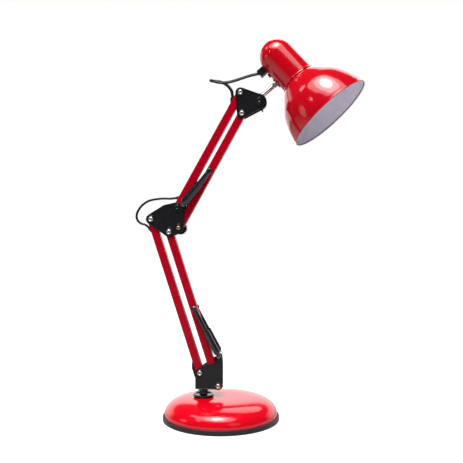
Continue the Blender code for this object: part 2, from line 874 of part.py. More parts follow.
def make_head_bracket():
    outline = belt(
        [
            (HEAD_UPPER.x, HEAD_UPPER.z, 0.0076),
            (HEAD_LOWER.x, HEAD_LOWER.z, 0.0076),
            (TILT_PIVOT.x, TILT_PIVOT.z, 0.0111),
        ],
        6,
    )
    holes = [(at, HOLE_R) for at in (HEAD_UPPER, HEAD_LOWER, TILT_PIVOT)]
    plates = plate_pair("head_plate", outline, holes)
    fasteners = [
        rivet("head_rivet_upper", HEAD_UPPER),
        rivet("head_rivet_lower", HEAD_LOWER),
    ]
    under = -(PLATE_OUT + GAP)
    bolt = turned(
        "tilt_bolt",
        [
            (0, 0.0190),
            (RIVET_R, 0.0190),
            (RIVET_R, under),
            (0.0050, under),
            (0.0050, under - 0.0016),
            (0.0034, under - 0.0016),
            (0.0034, under - 0.0008),
            (0, under - 0.0008),
        ],
        "black_paint",
        12,
    )
    bolt.matrix_world = turn_to(BACK, TILT_PIVOT)
    return [*plates, *fasteners, smooth(bolt)]


def make_wing_nut():
    """A black wing nut on the back end of the tilt bolt."""
    low = PLATE_OUT + GAP
    hub = cross_pin("wing_nut", TILT_PIVOT + BACK * (low + 0.0042), 0.0042, 0.0055, "black_plastic", 16)
    lean = polar(1, -70)
    across = polar(1, 20)
    for i, side in enumerate((-1, 1)):
        wing = block(f"wing_{i}", (-0.0044, -0.0012, -0.0046), (0.0044, 0.0012, 0.0046))
        tip = TILT_PIVOT + lean * side * 0.0076 + BACK * (low + 0.0062)
        frame = Matrix((BACK, across, lean)).transposed().to_4x4()
        wing.matrix_world = Matrix.Translation(tip) @ frame
        join(hub, wing)
    cut(hub, cross_pin("cut_wing_nut", TILT_PIVOT + BACK * 0.015, 0.015, RIVET_R + GAP, sides=12))
    return smooth(hub)


def make_rod_socket():
    """The lug that tilts between the head plates, with a barrel that holds the rod."""
    socket = cross_pin("rod_socket", TILT_PIVOT, 0.0062, 0.0062, "nickel", 18)
    barrel = rod("socket_barrel", ROD_FOOT + ROD_DIR * 0.0010, ROD_FOOT + ROD_DIR * 0.0112, 0.0054, sides=18)
    join(socket, barrel)
    bore = rod("cut_socket", ROD_FOOT + ROD_DIR * 0.0050, ROD_FOOT + ROD_DIR * 0.0160, ROD_R + GAP)
    hole = cross_pin("cut_socket_pin", TILT_PIVOT, 0.0100, RIVET_R + GAP, sides=12)
    return smooth(cut(socket, bore, hole))


def make_head_rod():
    """The chrome rod, with a flat eye at the knuckle."""
    start = ROD_FOOT + ROD_DIR * 0.0055
    made = rod("head_rod", start, KNUCKLE - ROD_DIR * 0.0044, ROD_R, "chrome", 20)
    eye = rod("rod_eye", KNUCKLE - ACROSS * 0.0014, KNUCKLE + ACROSS * 0.0014, 0.0029)
    web = block("rod_web", (-0.0024, -0.0014, -0.0052), (0.0024, 0.0014, -0.0010))
    web.matrix_world = KNUCKLE_FRAME @ Matrix.Translation(web.location)
    hole = rod("cut_rod_eye", KNUCKLE - ACROSS * 0.004, KNUCKLE + ACROSS * 0.004, 0.0019)
    return smooth(cut(join(made, web, eye), hole))


# ---- head -----------------------------------------------------------------------


def on_head(o):
    """Places a piece that was made with the neck's axis along Z and the knuckle to +X."""
    bpy.context.view_layer.update()
    o.matrix_world = HEAD_FRAME @ o.matrix_world
    return o


def shade_profile(steps):
    """The bell's outer line from the collar to the mouth, as (radius, distance)."""
    line = [(0.0275, 0), (0.0330, 0.0045), (0.0442, 0.0172), (0.0550, 0.0312)]
    line += [(0.0627, 0.0490), (0.0668, 0.0650), (SHADE_R, SHADE_DEEP)]
    route = smooth_route([(r, 0, z) for r, z in line], 0.090 / steps)
    return [(p.x, NECK_LONG + p.z) for p in route]


def side_hole(name, height, radius, low=0.022, high=0.040):
    """A cutter that points from the neck's axis to the knuckle's side."""
    return rod(name, Vector((low, 0, height)), Vector((high, 0, height)), radius, sides=12)


def make_shell():
    """The neck, which is a tube with a round back, and the bell that it carries."""
    dome = [
        (NECK_R * math.sin(math.radians(a)), -NECK_R * math.cos(math.radians(a)))
        for a in range(0, 91, 15)
    ]
    line = [*dome, (NECK_R, NECK_LONG - 0.0022), (NECK_R + 0.0009, NECK_LONG - 0.0010)]
    neck = turned("neck", list(reversed(line)), "red_paint", 32, wall=SHEET_T)
    tools = [
        side_hole("cut_neck_inlet", INLET, 0.0028),
        side_hole("cut_neck_anchor", ANCHOR, 0.0015),
        rod("cut_neck_switch", Vector((0, 0.020, SWITCH)), Vector((0, 0.040, SWITCH)), 0.0063),
    ]
    for piece in (neck, *tools):
        on_head(piece)
    cut(neck, *tools)
    collar = [(COLLAR_R, NECK_LONG - 0.0080), (COLLAR_R, NECK_LONG - 0.0012)]
    line = [*collar, *shade_profile(9)[1:]]
    shade = on_head(turned("shade", list(reversed(line)), "red_paint", 36, wall=SHEET_T))
    return [neck, shade]


def make_lampholder():
    """A screw lampholder inside the neck, with its centre contact and fixing ring."""
    radius, bore = 0.0190, 0.0139
    line = [(0, 0.002), (bore, 0.002), (bore, 0.030), (radius, 0.030)]
    line += [(radius, -0.004), (0.0150, -0.0120), (0, -0.0140)]
    holder = turned("lampholder", line, "bakelite", 24)
    contact = rod("contact", Vector((0, 0, 0.001)), Vector((0, 0, 0.0075)), 0.0045, sides=12)
    low, high = radius - 0.0020, NECK_R - SHEET_T - GAP
    line = [(low, 0.0216), (high, 0.0216), (high, 0.0200), (low, 0.0200)]
    ring = turned("holder_ring", line, None, 24, closed=True)
    for piece in (holder, contact, ring):
        on_head(piece)
    return [join(holder, ring, contact)]


def make_gland():
    """The block that takes the lead into the neck."""
    low = (WALL - 0.0016, -0.0052, INLET - 0.0060)
    high = (WALL + GLAND_OUT, 0.0052, INLET + 0.0060)
    gland = bevel(block("cord_gland", low, high, "black_plastic"), 0.0010)
    seat = rod("cut_gland_seat", UP * -0.015, UP * 0.020, WALL, sides=32)
    passage = side_hole("cut_gland_passage", INLET, CORD_R + GAP, 0.015, 0.050)
    for piece in (gland, seat, passage):
        on_head(piece)
    return [cut(gland, seat, passage)]


def make_knuckle():
    """The fork on the neck and the screw on which the head tilts."""
    mid = KNUCKLE_AXIAL
    low, high = (WALL, -0.0031, mid - 0.0078), (WALL + 0.0011, 0.0031, mid + 0.0078)
    foot = block("knuckle_fork", low, high, "nickel")
    low, high = (WALL + 0.0006, -0.0031, mid - 0.0032), (WALL + 0.0062, 0.0031, mid + 0.0032)
    ears = block("fork_ears", low, high)
    hollow = block("cut_fork", (WALL - 0.0011, -0.0017, mid - 0.0050), (WALL + 0.012, 0.0017, mid + 0.0050))
    stud = side_hole("fork_stud", ANCHOR, 0.0012, 0.0235, WALL + 0.0006)
    for piece in (foot, ears, hollow, stud):
        on_head(piece)
    hole = rod("cut_fork_hole", KNUCKLE - ACROSS * 0.006, KNUCKLE + ACROSS * 0.006, 0.0019)
    cut(join(foot, ears), hollow, hole)
    join(foot, stud)
    line = [(0, 0.0062), (0.0030, 0.0058), (0.0030, 0.0034), (0.0016, 0.0034)]
    line += [(0.0016, -0.0034), (0.0030, -0.0034), (0.0028, -0.0052), (0, -0.0056)]
    screw = turned("knuckle_screw", line, "nickel", 12)
    screw.matrix_world = turn_to(ACROSS, KNUCKLE)
    return [foot, screw]


def make_switch():
    """A push switch in the neck's back: its housing, and the button that moves."""
    line = [(0, 0.0205), (0.0043, 0.0205), (0.0043, 0.0294), (0.0068, 0.0294)]
    line += [(0.0075, 0.0286), (0.0075, 0.0279), (0.0060, 0.0279), (0.0060, 0.0197), (0, 0.0197)]
    housing = turned("switch_housing", line, "black_plastic", 20)
    line = [(0, 0.0330), (0.0030, 0.0329), (0.0040, 0.0320), (0.0040, 0.0232), (0, 0.0232)]
    button = turned("switch_button", line, "black_plastic", 20)
    for piece in (housing, button):
        piece.matrix_world = HEAD_FRAME @ Matrix.Translation((0, 0, SWITCH)) @ Matrix.Rotation(
            math.radians(-90), 4, "X"
        )
    return [housing], button


# ---- mains lead -----------------------------------------------------------------


def beside(start, end, far, out):
    """A point by a tube: far along it from start, and out from its axis to the left."""
    along = (end - start).normalized()
    left = Vector((-along.z, 0, along.x))
    if left.x > 0:
        left = -left
    return start + along * far + left * out


SINK = [(CORD_FROM, CORD_OUT), (0.0145, 0.0076), (0.0190, 0.0053), (0.0240, 0.0032)]
SHORT_SINK = [(0.0112, 0.0092), (0.0140, 0.0062), (0.0185, 0.0036), (0.0240, CORD_IN)]


def through_tube(start, end, last=SINK):
    """The lead's way through a tube, in and out by the slots in its left wall. A sink
    lists (distance from the pivot, distance from the tube's axis)."""
    long = (end - start).length
    inside = [(0.0300, CORD_IN), (0.0600, CORD_IN)]
    near = [beside(start, end, far, out) for far, out in SINK + inside]
    return near + [beside(start, end, long - far, out) for far, out in reversed(last + inside)]


def along_hank(far, side=0.0, height=0.0):
    """A point by the folded lead: far from its near end, to one side, at a height."""
    across = Vector((HANK_DIR.y, -HANK_DIR.x, 0))
    return HANK_START + HANK_DIR * far + across * side + UP * height


def split(route, *shares):
    """Cuts a route at shares of its length and leaves a small gap at each cut."""
    cuts = [0, *(round(share * (len(route) - 1)) for share in shares), len(route) - 1]
    pieces = []
    for low, high in zip(cuts, cuts[1:]):
        piece = route[low : high + 1]
        if low:
            step = piece[1] - piece[0]
            piece[0] = piece[0] + step * (CORD_GAP / step.length)
        pieces.append(piece)
    return pieces


def make_lead():
    """The lead in its stretches. Each one that bends crosses a single joint."""
    way = [GLAND_MOUTH, *HEAD_LOOP, beside(HEAD_UPPER, ELBOW_UPPER, CORD_FROM - CORD_GAP, CORD_OUT)]
    loop = split(smooth_route(way, 0.0040), 0.11, 0.23, 0.44)
    parts = {}
    for i, piece in enumerate(loop[:3]):
        parts[f"head_cord_{i + 1}"] = cord(f"head_cord_{i + 1}", piece, 0.0075)
    way = loop[3] + through_tube(HEAD_UPPER, ELBOW_UPPER, SHORT_SINK)[1:]
    parts["upper_arm_cord"] = cord("upper_arm_cord", way, 0.009)
    first = beside(ELBOW_UPPER, HEAD_UPPER, 0.0106, 0.0101)
    last = beside(ELBOW_LEFT, LOWER_PIVOT, CORD_FROM - CORD_GAP, CORD_OUT)
    upper, lower = split(smooth_route([first, *ELBOW_LOOP, last], 0.0040), 0.60)
    parts["elbow_cord"] = cord("elbow_cord", upper, 0.009)
    way = lower + through_tube(ELBOW_LEFT, LOWER_PIVOT)[1:]
    parts["lower_arm_cord"] = cord("lower_arm_cord", way, 0.009)
    first = beside(LOWER_PIVOT, ELBOW_LEFT, CORD_FROM - CORD_GAP, CORD_OUT)
    parts["bracket_cord"] = cord("bracket_cord", [first, *BRACKET_WAY], 0.005)
    parts["floor_cord"] = cord("floor_cord", FLOOR_WAY, 0.009)
    return parts


def make_hank():
    """The spare lead, folded up behind the base, with the plug on top of it."""
    half, long = HANK_WIDE / 2, HANK_LONG
    outline = arc((0, half), half, math.pi, 2 * math.pi, 10)
    outline += arc((0, long - half), half, 0, math.pi, 10)
    curve = bpy.data.curves.new("folded_cord", "CURVE")
    curve.dimensions = "2D"
    curve.fill_mode = "BOTH"
    curve.extrude = HANK_HIGH / 2
    spline = curve.splines.new("POLY")
    spline.points.add(len(outline) - 1)
    for point, (x, y) in zip(spline.points, outline):
        point.co = (x, y, 0, 1)
    spline.use_cyclic_u = True
    hank = add("folded_cord", curve, "cord_pvc")
    hank.matrix_world = HANK_FRAME @ Matrix.Translation((0, 0, HANK_LOW + HANK_HIGH / 2))
    hank = meshed(hank)
    top = HANK_LOW + HANK_HIGH
    middle = top + GAP + PLUG_HIGH / 2
    way = [
        along_hank(0.0060, -0.0110, top - 0.0030),
        along_hank(0.0120, -0.0090, top + 0.0018),
        along_hank(0.0200, -0.0060, top + 0.0036),
        along_hank(0.0290, -0.0018, middle - 0.0016),
        along_hank(PLUG_FROM - 0.0008, 0, middle),
    ]
    join(hank, meshed(cord("plug_cord", way, 0.009)))
    half = PLUG_HIGH / 2
    body = block("mains_plug", (-0.0175, 0.0110, -half), (0.0175, 0.0370, half), "black_plastic")
    bevel(body, 0.0025)
    others = [
        block("plug_shoulder", (-0.0110, 0.0040, -0.0055), (0.0110, 0.0130, 0.0055)),
        rod("plug_relief", Vector((0, 0, 0)), Vector((0, 0.0060, 0)), 0.0036, sides=14),
    ]
    for side in (-1, 1):
        root, tip = Vector((side * 0.0095, 0.0340, 0)), Vector((side * 0.0095, 0.0555, 0))
        others.append(rod(f"plug_pin_{side}", root, tip, 0.0020, sides=12))
    bpy.context.view_layer.update()
    for piece in (body, *others):
        place = Matrix.Translation((0, PLUG_FROM, middle))
        piece.matrix_world = HANK_FRAME @ place @ piece.matrix_world
    join(body, *others)
    return [smooth(hank), smooth(body)]


# ---- the whole lamp -------------------------------------------------------------


def main():
    root = pivot("base", Vector((0, 0, 0)))
    hang(root, *make_base())
    lead = make_lead()
    hang(root, lead["floor_cord"], *make_hank())

    swivel = pivot("swivel", Vector((POST_X, 0, 0.0376)), root)
    hang(swivel, *make_lower_bracket(), lead["bracket_cord"])

    lower_arm = pivot("lower_arm", LOWER_PIVOT, swivel)
    ends = ((SLOT_FROM, SLOT_TO), (LOWER_ARM[0] - SLOT_TO, LOWER_ARM[0] - SLOT_FROM))
    tube = square_tube("lower_left_tube", LOWER_PIVOT, ELBOW_LEFT, ends)
    hang(lower_arm, tube, lead["lower_arm_cord"])

    lower_link = pivot("lower_link", LOWER_RIGHT, swivel)
    tube = square_tube("lower_right_tube", LOWER_RIGHT, ELBOW_RIGHT, pin_at=LOWER_PIN)
    hang(lower_link, tube)

    upper_end, foot = make_lower_springs()
    hang(pivot("lower_spring_foot", LOWER_HOOK, swivel), *foot)
    hang(pivot("lower_spring_head", LOWER_PIN, lower_link), upper_end)

    elbow = pivot("elbow", ELBOW_LEFT, lower_arm)
    hang(elbow, *make_elbow(), lead["elbow_cord"])
    hang(pivot("elbow_nut", KNEE_PIVOT, elbow), make_elbow_knob())

    upper_arm = pivot("upper_arm", ELBOW_UPPER, elbow)
    ends = ((0.0066, 0.0250), (UPPER_ARM[0] - SLOT_TO, UPPER_ARM[0] - SLOT_FROM))
    tube = square_tube("upper_left_tube", ELBOW_UPPER, HEAD_UPPER, ends)
    hang(upper_arm, tube, lead["upper_arm_cord"])

    upper_link = pivot("upper_link", KNEE_PIVOT, elbow)
    tube = square_tube("upper_right_tube", KNEE_PIVOT, HEAD_LOWER, pin_at=UPPER_PIN)
    hang(upper_link, tube)

    upper_end, foot = make_upper_springs()
    hang(pivot("upper_spring_foot", UPPER_HOOK, elbow), *foot)
    hang(pivot("upper_spring_head", UPPER_PIN, upper_link), upper_end)

    bracket = pivot("head_bracket", HEAD_UPPER, upper_arm)
    hang(bracket, *make_head_bracket(), lead["head_cord_3"])
    hang(pivot("tilt_nut", TILT_PIVOT, bracket), make_wing_nut())

    socket = pivot("socket", TILT_PIVOT, bracket)
    hang(socket, make_rod_socket(), lead["head_cord_2"])
    shaft = pivot("shaft", KNUCKLE, socket)
    hang(shaft, make_head_rod())
    head = pivot("head", KNUCKLE, shaft)
    housing, button = make_switch()
    pieces = [*make_shell(), *make_lampholder(), *make_gland(), *make_knuckle(), *housing]
    hang(head, *pieces, lead["head_cord_1"])
    for piece in pieces:
        smooth(piece)
    hang(pivot("switch", HEAD_FRAME @ Vector((0, 0.0330, SWITCH)), head), smooth(button))


main()
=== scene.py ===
"""Looks for the architect desk lamp: materials, fine pieces, the lead, studio and camera.

Every length is in metres, in the CAD frame: +Z is up and -Y is the front.
"""

import json
import math

import bmesh
import bpy
from mathutils import Matrix, Vector


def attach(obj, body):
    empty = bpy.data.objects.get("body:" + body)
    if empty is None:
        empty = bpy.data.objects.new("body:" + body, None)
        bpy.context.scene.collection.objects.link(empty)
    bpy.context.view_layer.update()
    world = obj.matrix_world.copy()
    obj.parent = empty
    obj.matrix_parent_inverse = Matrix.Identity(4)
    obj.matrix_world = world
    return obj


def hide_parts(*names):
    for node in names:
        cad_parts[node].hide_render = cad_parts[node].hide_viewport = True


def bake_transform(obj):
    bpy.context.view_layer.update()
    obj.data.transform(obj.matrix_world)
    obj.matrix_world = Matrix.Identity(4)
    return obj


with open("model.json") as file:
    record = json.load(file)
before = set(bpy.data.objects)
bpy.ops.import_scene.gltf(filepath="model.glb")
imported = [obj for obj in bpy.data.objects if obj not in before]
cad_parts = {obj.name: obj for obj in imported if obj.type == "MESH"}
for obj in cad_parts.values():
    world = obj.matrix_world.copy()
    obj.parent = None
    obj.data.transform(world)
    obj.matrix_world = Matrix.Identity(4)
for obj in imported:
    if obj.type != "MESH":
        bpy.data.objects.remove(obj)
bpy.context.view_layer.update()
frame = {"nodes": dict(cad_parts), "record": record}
NODES = frame["nodes"]
SCENE = bpy.context.scene
UP = Vector((0, 0, 1))
BACK = Vector((0, 1, 0))
RIGHT = Vector((1, 0, 0))

# ---- places that the CAD settles ------------------------------------------------

BASE_R = 0.0893
COVER_R = 0.0866
COVER_TOP = 0.0335
COVER_FOOT = 0.0020
COVER_SPRING = 0.0080  # where the cover's curve starts
COVER_POWER = 5.0  # how square its shoulder is
POST_X = -0.0270
PLATE_IN = 0.0066  # a bracket plate's inner face, from the middle of the lamp
PLATE_T = 0.0016
PLATE_OUT = PLATE_IN + PLATE_T
GAP = 0.0003
SPRING_Y = 0.0128  # a spring's axis, from the middle of the lamp
CORD_FROM = 0.0105  # where the lead enters a tube, along it from the pivot
CORD_OUT = 0.0084  # how far beside the tube's axis it is there
CORD_IN = 0.0026  # how far beside the axis it lies inside
NECK_R = 0.0275
NECK_LONG = 0.0500
SHADE_R = 0.0677
SHEET_T = 0.0009
INLET = 0.0016  # the gland's middle, along the head from the centre of the neck's round end
KNUCKLE_AXIAL = 0.0304
ARM_LOWER = 0.2482  # between the pivots
ARM_UPPER = 0.2003


def polar(length, degrees):
    """A step in the XZ plane."""
    a = math.radians(degrees)
    return Vector((length * math.cos(a), 0, length * math.sin(a)))


LOWER_PIVOT = Vector((-0.0320, 0, 0.0708))
LOWER_RIGHT = LOWER_PIVOT + polar(0.0346, -35.1)
LOWER_WAY = 107.86  # degrees from +X to +Z
ELBOW_LEFT = LOWER_PIVOT + polar(ARM_LOWER, LOWER_WAY)
ELBOW_RIGHT = LOWER_RIGHT + polar(ARM_LOWER, LOWER_WAY)
KNEE_PIVOT = Vector((-0.0649, 0, 0.2934))
ELBOW_UPPER = KNEE_PIVOT + polar(0.0322, 94.1)
UPPER_WAY = 60.84
HEAD_LOWER = KNEE_PIVOT + polar(ARM_UPPER, UPPER_WAY)
HEAD_UPPER = ELBOW_UPPER + polar(ARM_UPPER, UPPER_WAY)
TILT_PIVOT = Vector((0.0595, 0, 0.4860))
LOWER_HOOK = Vector((-0.0010, 0, 0.0960))
LOWER_PIN = LOWER_RIGHT + polar(0.1243, LOWER_WAY) + polar(0.0020, LOWER_WAY - 90)
UPPER_HOOK = Vector((-0.0590, 0, 0.3276))
UPPER_PIN = KNEE_PIVOT + polar(0.0990, UPPER_WAY)
ROD_DIR = polar(1, 41.0)
KNUCKLE = TILT_PIVOT + polar(0.0047, 131.0) + ROD_DIR * 0.0355
SWIVEL = Matrix.Rotation(math.radians(-8.0), 4, ROD_DIR).to_3x3()
ACROSS = SWIVEL @ BACK
HEAD_DIR = SWIVEL @ polar(1, -49.0)
HEAD_START = KNUCKLE + ROD_DIR * 0.0309 - HEAD_DIR * KNUCKLE_AXIAL


def framed(at, x, y, z):
    """A matrix with the given origin and axes."""
    return Matrix.Translation(at) @ Matrix((x, y, z)).transposed().to_4x4()


HEAD_FRAME = framed(HEAD_START, -ROD_DIR, ACROSS, HEAD_DIR)
GLAND_MOUTH = HEAD_FRAME @ Vector((NECK_R + GAP + 0.0108 + GAP, 0, INLET))
HANK_START = Vector((-0.0290, 0.0945, 0))
HANK_DIR = Vector((-0.1127, 0.9936, 0)).normalized()
HANK_FRAME = framed(HANK_START, Vector((HANK_DIR.y, -HANK_DIR.x, 0)), HANK_DIR, UP)

# ---- camera ---------------------------------------------------------------------

CAMERA_TURN = 4.5  # degrees to the right of straight on
CAMERA_SIDE = 0.0162  # sideways, in metres
CAMERA_HIGH = 0.288
CAMERA_LENS = 50.46
CAMERA_SENSOR = 36


def make_camera():
    """A level camera one metre away."""
    turn = math.radians(CAMERA_TURN)
    data = bpy.data.cameras.new("camera")
    data.lens = CAMERA_LENS
    data.sensor_width = CAMERA_SENSOR
    camera = bpy.data.objects.new("camera", data)
    camera.location = (
        math.sin(turn) + CAMERA_SIDE * math.cos(turn),
        -math.cos(turn) + CAMERA_SIDE * math.sin(turn),
        CAMERA_HIGH,
    )
    look = Vector((-math.sin(turn), math.cos(turn), 0))
    camera.rotation_euler = look.to_track_quat("-Z", "Y").to_euler()
    SCENE.collection.objects.link(camera)
    SCENE.camera = camera


make_camera()

# ---- materials ------------------------------------------------------------------

NOISE_LOW = 0.3  # most of a noise lies between these two
NOISE_HIGH = 0.7
ROUGH_GRAIN = 2.3  # how much finer the roughness varies than the colour
BUMP_DEEP = 0.0002
MIX_FACTOR = 0  # sockets of a Mix node that is set to FLOAT
MIX_A = 2
MIX_B = 3


def shader_nodes(name):
    made = bpy.data.materials.new(name)
    made.use_nodes = True
    tree = made.node_tree
    return made, tree, tree.nodes["Principled BSDF"]


def noise(tree, scale, detail=3.0):
    where = tree.nodes.new("ShaderNodeTexCoord")
    found = tree.nodes.new("ShaderNodeTexNoise")
    found.inputs["Scale"].default_value = scale
    found.inputs["Detail"].default_value = detail
    tree.links.new(where.outputs["Object"], found.inputs["Vector"])
    return found.outputs["Fac"]


def spread(tree, value, low, high):
    """A noise value mapped to low..high."""
    found = tree.nodes.new("ShaderNodeMapRange")
    found.inputs["From Min"].default_value = NOISE_LOW
    found.inputs["From Max"].default_value = NOISE_HIGH
    found.inputs["To Min"].default_value = low
    found.inputs["To Max"].default_value = high
    tree.links.new(value, found.inputs["Value"])
    return found.outputs["Result"]


def by_ray(tree, for_camera, for_lamp):
    """A strength that the camera sees, and another one that lights the lamp.

    Each of the two is a number or an output socket.
    """
    path = tree.nodes.new("ShaderNodeLightPath")
    seen = tree.nodes.new("ShaderNodeMix")
    seen.data_type = "FLOAT"
    tree.links.new(path.outputs["Is Camera Ray"], seen.inputs[MIX_FACTOR])
    for at, value in ((MIX_A, for_lamp), (MIX_B, for_camera)):
        if isinstance(value, float):
            seen.inputs[at].default_value = value
        else:
            tree.links.new(value, seen.inputs[at])
    return seen.outputs[0]


def surface(name, colour, rough, metal=0.0, ior=1.5, vary=0.08, grain=90.0, bump=0.0, fine=900.0):
    """A finish whose colour and roughness vary a little, with a fine relief if bump is set."""
    made, tree, shader = shader_nodes(name)
    dark = [c * (1 - vary) for c in colour]
    light = [min(1.0, c * (1 + vary)) for c in colour]
    mix = tree.nodes.new("ShaderNodeMix")
    mix.data_type = "RGBA"
    mix.inputs["A"].default_value = (*dark, 1)
    mix.inputs["B"].default_value = (*light, 1)
    tree.links.new(noise(tree, grain), mix.inputs["Factor"])
    tree.links.new(mix.outputs["Result"], shader.inputs["Base Color"])
    rough_from = spread(tree, noise(tree, grain * ROUGH_GRAIN), rough * 0.85, rough * 1.15)
    tree.links.new(rough_from, shader.inputs["Roughness"])
    shader.inputs["Metallic"].default_value = metal
    shader.inputs["IOR"].default_value = ior
    if bump:
        relief = tree.nodes.new("ShaderNodeBump")
        relief.inputs["Strength"].default_value = bump
        relief.inputs["Distance"].default_value = BUMP_DEEP
        tree.links.new(noise(tree, fine, 4.0), relief.inputs["Height"])
        tree.links.new(relief.outputs["Normal"], shader.inputs["Normal"])
    made.diffuse_color = (*colour, 1)
    return made


FINISHES = {  # colour, roughness, and what isn't as in plain paint
    "red_gloss": ((0.43, 0.0, 0.006), 0.12, {"vary": 0.03, "grain": 40}),
    "red_tube": ((0.35, 0.0, 0.010), 0.25, {"ior": 1.18, "vary": 0.04, "grain": 60}),
    "black_paint": ((0.007, 0.007, 0.009), 0.28, {"ior": 1.32, "vary": 0.2, "bump": 0.12}),
    "black_plastic": ((0.006, 0.006, 0.008), 0.22, {"ior": 1.45, "vary": 0.2, "bump": 0.05}),
    "black_rubber": ((0.014, 0.013, 0.016), 0.50, {"ior": 1.4, "vary": 0.25, "bump": 0.25}),
    "black_pvc": (
        (0.004, 0.004, 0.006),
        0.42,
        {"ior": 1.30, "vary": 0.2, "bump": 0.05, "fine": 500},
    ),
    "nickel": (
        (0.40, 0.39, 0.35),
        0.38,
        {"metal": 1.0, "vary": 0.10, "grain": 300, "bump": 0.08},
    ),
    "brass": (
        (0.36, 0.31, 0.19),
        0.42,
        {"metal": 1.0, "vary": 0.15, "grain": 300, "bump": 0.1},
    ),
    "chrome": ((0.74, 0.74, 0.76), 0.10, {"metal": 1.0, "vary": 0.02}),
    "spring_steel": ((0.26, 0.26, 0.26), 0.34, {"metal": 1.0, "vary": 0.1}),
    "iron": ((0.10, 0.10, 0.10), 0.7, {"metal": 0.5, "vary": 0.3, "bump": 0.6}),
    "foam_pad": ((0.05, 0.05, 0.055), 0.9, {"vary": 0.3, "grain": 500, "bump": 0.8}),
    "holder_black": ((0.028, 0.026, 0.025), 0.4, {"vary": 0.2, "bump": 0.1}),
}
LOOKS = {}
for slot, (colour, rough, rest) in FINISHES.items():
    LOOKS[slot] = surface(slot, colour, rough, **rest)
INNER = surface("shade_inner", (0.66, 0.62, 0.71), 0.50, vary=0.03, grain=30, bump=0.03)
# The dome's red is the shade's red_gloss paint made lighter. This is painted light, for the extra
# light that the upward-facing dome gets from above.
DOME_RED_PAINTED_LIGHT = surface("dome_red_painted_light", (0.60, 0.0, 0.010), 0.12, vary=0.03, grain=40)
SLEEVE = surface("smoky_sleeve", (0.008, 0.009, 0.012), 0.16, vary=0.3, grain=200)
# A dark red for the thin line just inside the shade's lip. It is painted shadow, the shade that
# the rolled lip casts there.
PAINTED_RIM_SHADOW = surface("rim_painted_shadow", (0.05, 0.0, 0.008), 0.5, vary=0.05)
SLOT_OF = {s["node"]: s["material_slot"] for s in frame["record"]["subparts"]}


def dress(o, *looks):
    """Gives a piece these materials and no others."""
    if o.data.materials:
        o.data.materials.clear()
    for look in looks:
        o.data.materials.append(look)
    return o


for node, o in NODES.items():
    dress(o, LOOKS[SLOT_OF[node]])
for node in ("lower_spring_yoke", "upper_spring_yoke"):
    dress(NODES[node], SLEEVE)

# ---- mesh helpers ---------------------------------------------------------------

ON_AXIS = 1e-7  # a smaller radius is a single point
ROUTE_STEPS = 20  # fine steps between two given points of a route


def smooth(o, angle=38):
    o.data.shade_smooth()
    o.data.set_sharp_from_angle(angle=math.radians(angle))
    return o


def add(name, bm, *looks):
    """Makes the mesh into a piece."""
    bmesh.ops.recalc_face_normals(bm, faces=bm.faces)
    mesh = bpy.data.meshes.new(name)
    bm.to_mesh(mesh)
    bm.free()
    o = bpy.data.objects.new(name, mesh)
    SCENE.collection.objects.link(o)
    return dress(o, *looks)


def turned(name, profile, look, steps=48, closed=False, place=None, marks=None, extra=()):
    """Turns (radius, height) points about Z.

    closed joins the last point to the first. marks gives each segment's material index, for
    which extra holds the materials after the first.
    """
    bm = bmesh.new()
    rings = []
    for r, z in profile:
        if r < ON_AXIS:
            rings.append([bm.verts.new((0, 0, z))])
            continue
        ring = []
        for i in range(steps):
            a = 2 * math.pi * i / steps
            ring.append(bm.verts.new((r * math.cos(a), r * math.sin(a), z)))
        rings.append(ring)
    pairs = list(zip(rings, rings[1:]))
    if closed:
        pairs.append((rings[-1], rings[0]))
    for k, (a, b) in enumerate(pairs):
        for i in range(steps):
            j = (i + 1) % steps
            corners = [a[i % len(a)], a[j % len(a)], b[j % len(b)], b[i % len(b)]]
            corners = list(dict.fromkeys(corners))
            if len(corners) > 2:
                bm.faces.new(corners).material_index = marks[k] if marks else 0
    o = add(name, bm, look, *extra)
    if place is not None:
        o.data.transform(place)
    return smooth(o)


def turn_to(direction, at):
    """Matrix that turns +Z to direction and moves the origin to at."""
    return Matrix.Translation(at) @ direction.to_track_quat("Z", "Y").to_matrix().to_4x4()


def box(name, low, high, look, place, width):
    """A box between two corners, with rounded edges of the given width."""
    bm = bmesh.new()
    bmesh.ops.create_cube(bm, size=1)
    for v in bm.verts:
        v.co = Vector(((v.co[i] + 0.5) * (high[i] - low[i]) + low[i] for i in range(3)))
    bmesh.ops.bevel(bm, geom=bm.edges, offset=width, segments=3, profile=0.5, affect="EDGES")
    o = add(name, bm, look)
    o.data.transform(place)
    return smooth(o)


def settle(o, slot, body, *nodes):
    """Rides a piece on its body, in place of the CAD nodes if any are named."""
    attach(o, body)
    if nodes:
        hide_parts(*nodes)
    return o


def smooth_route(points, spacing):
    """Points about spacing apart on a Catmull-Rom curve through the given ones."""
    p = [Vector(q) for q in points]
    ends = [p[0] * 2 - p[1], *p, p[-1] * 2 - p[-2]]
    fine = []
    for a, b, c, d in zip(ends, ends[1:], ends[2:], ends[3:]):
        for i in range(ROUTE_STEPS):
            t = i / ROUTE_STEPS
            curve = b * 2 + (c - a) * t + (a * 2 - b * 5 + c * 4 - d) * t * t
            fine.append((curve + (b * 3 - a - c * 3 + d) * t * t * t) / 2)
    fine.append(p[-1])
    total = sum((b - a).length for a, b in zip(fine, fine[1:]))
    wanted = max(2, round(total / spacing))
    kept = [fine[0]]
    gone = 0.0
    following = total / wanted
    for a, b in zip(fine, fine[1:]):
        step = (b - a).length
        while gone + step >= following - 1e-9 and len(kept) < wanted:
            kept.append(a.lerp(b, (following - gone) / step))
            following += total / wanted
        gone += step
    return [*kept, fine[-1]]


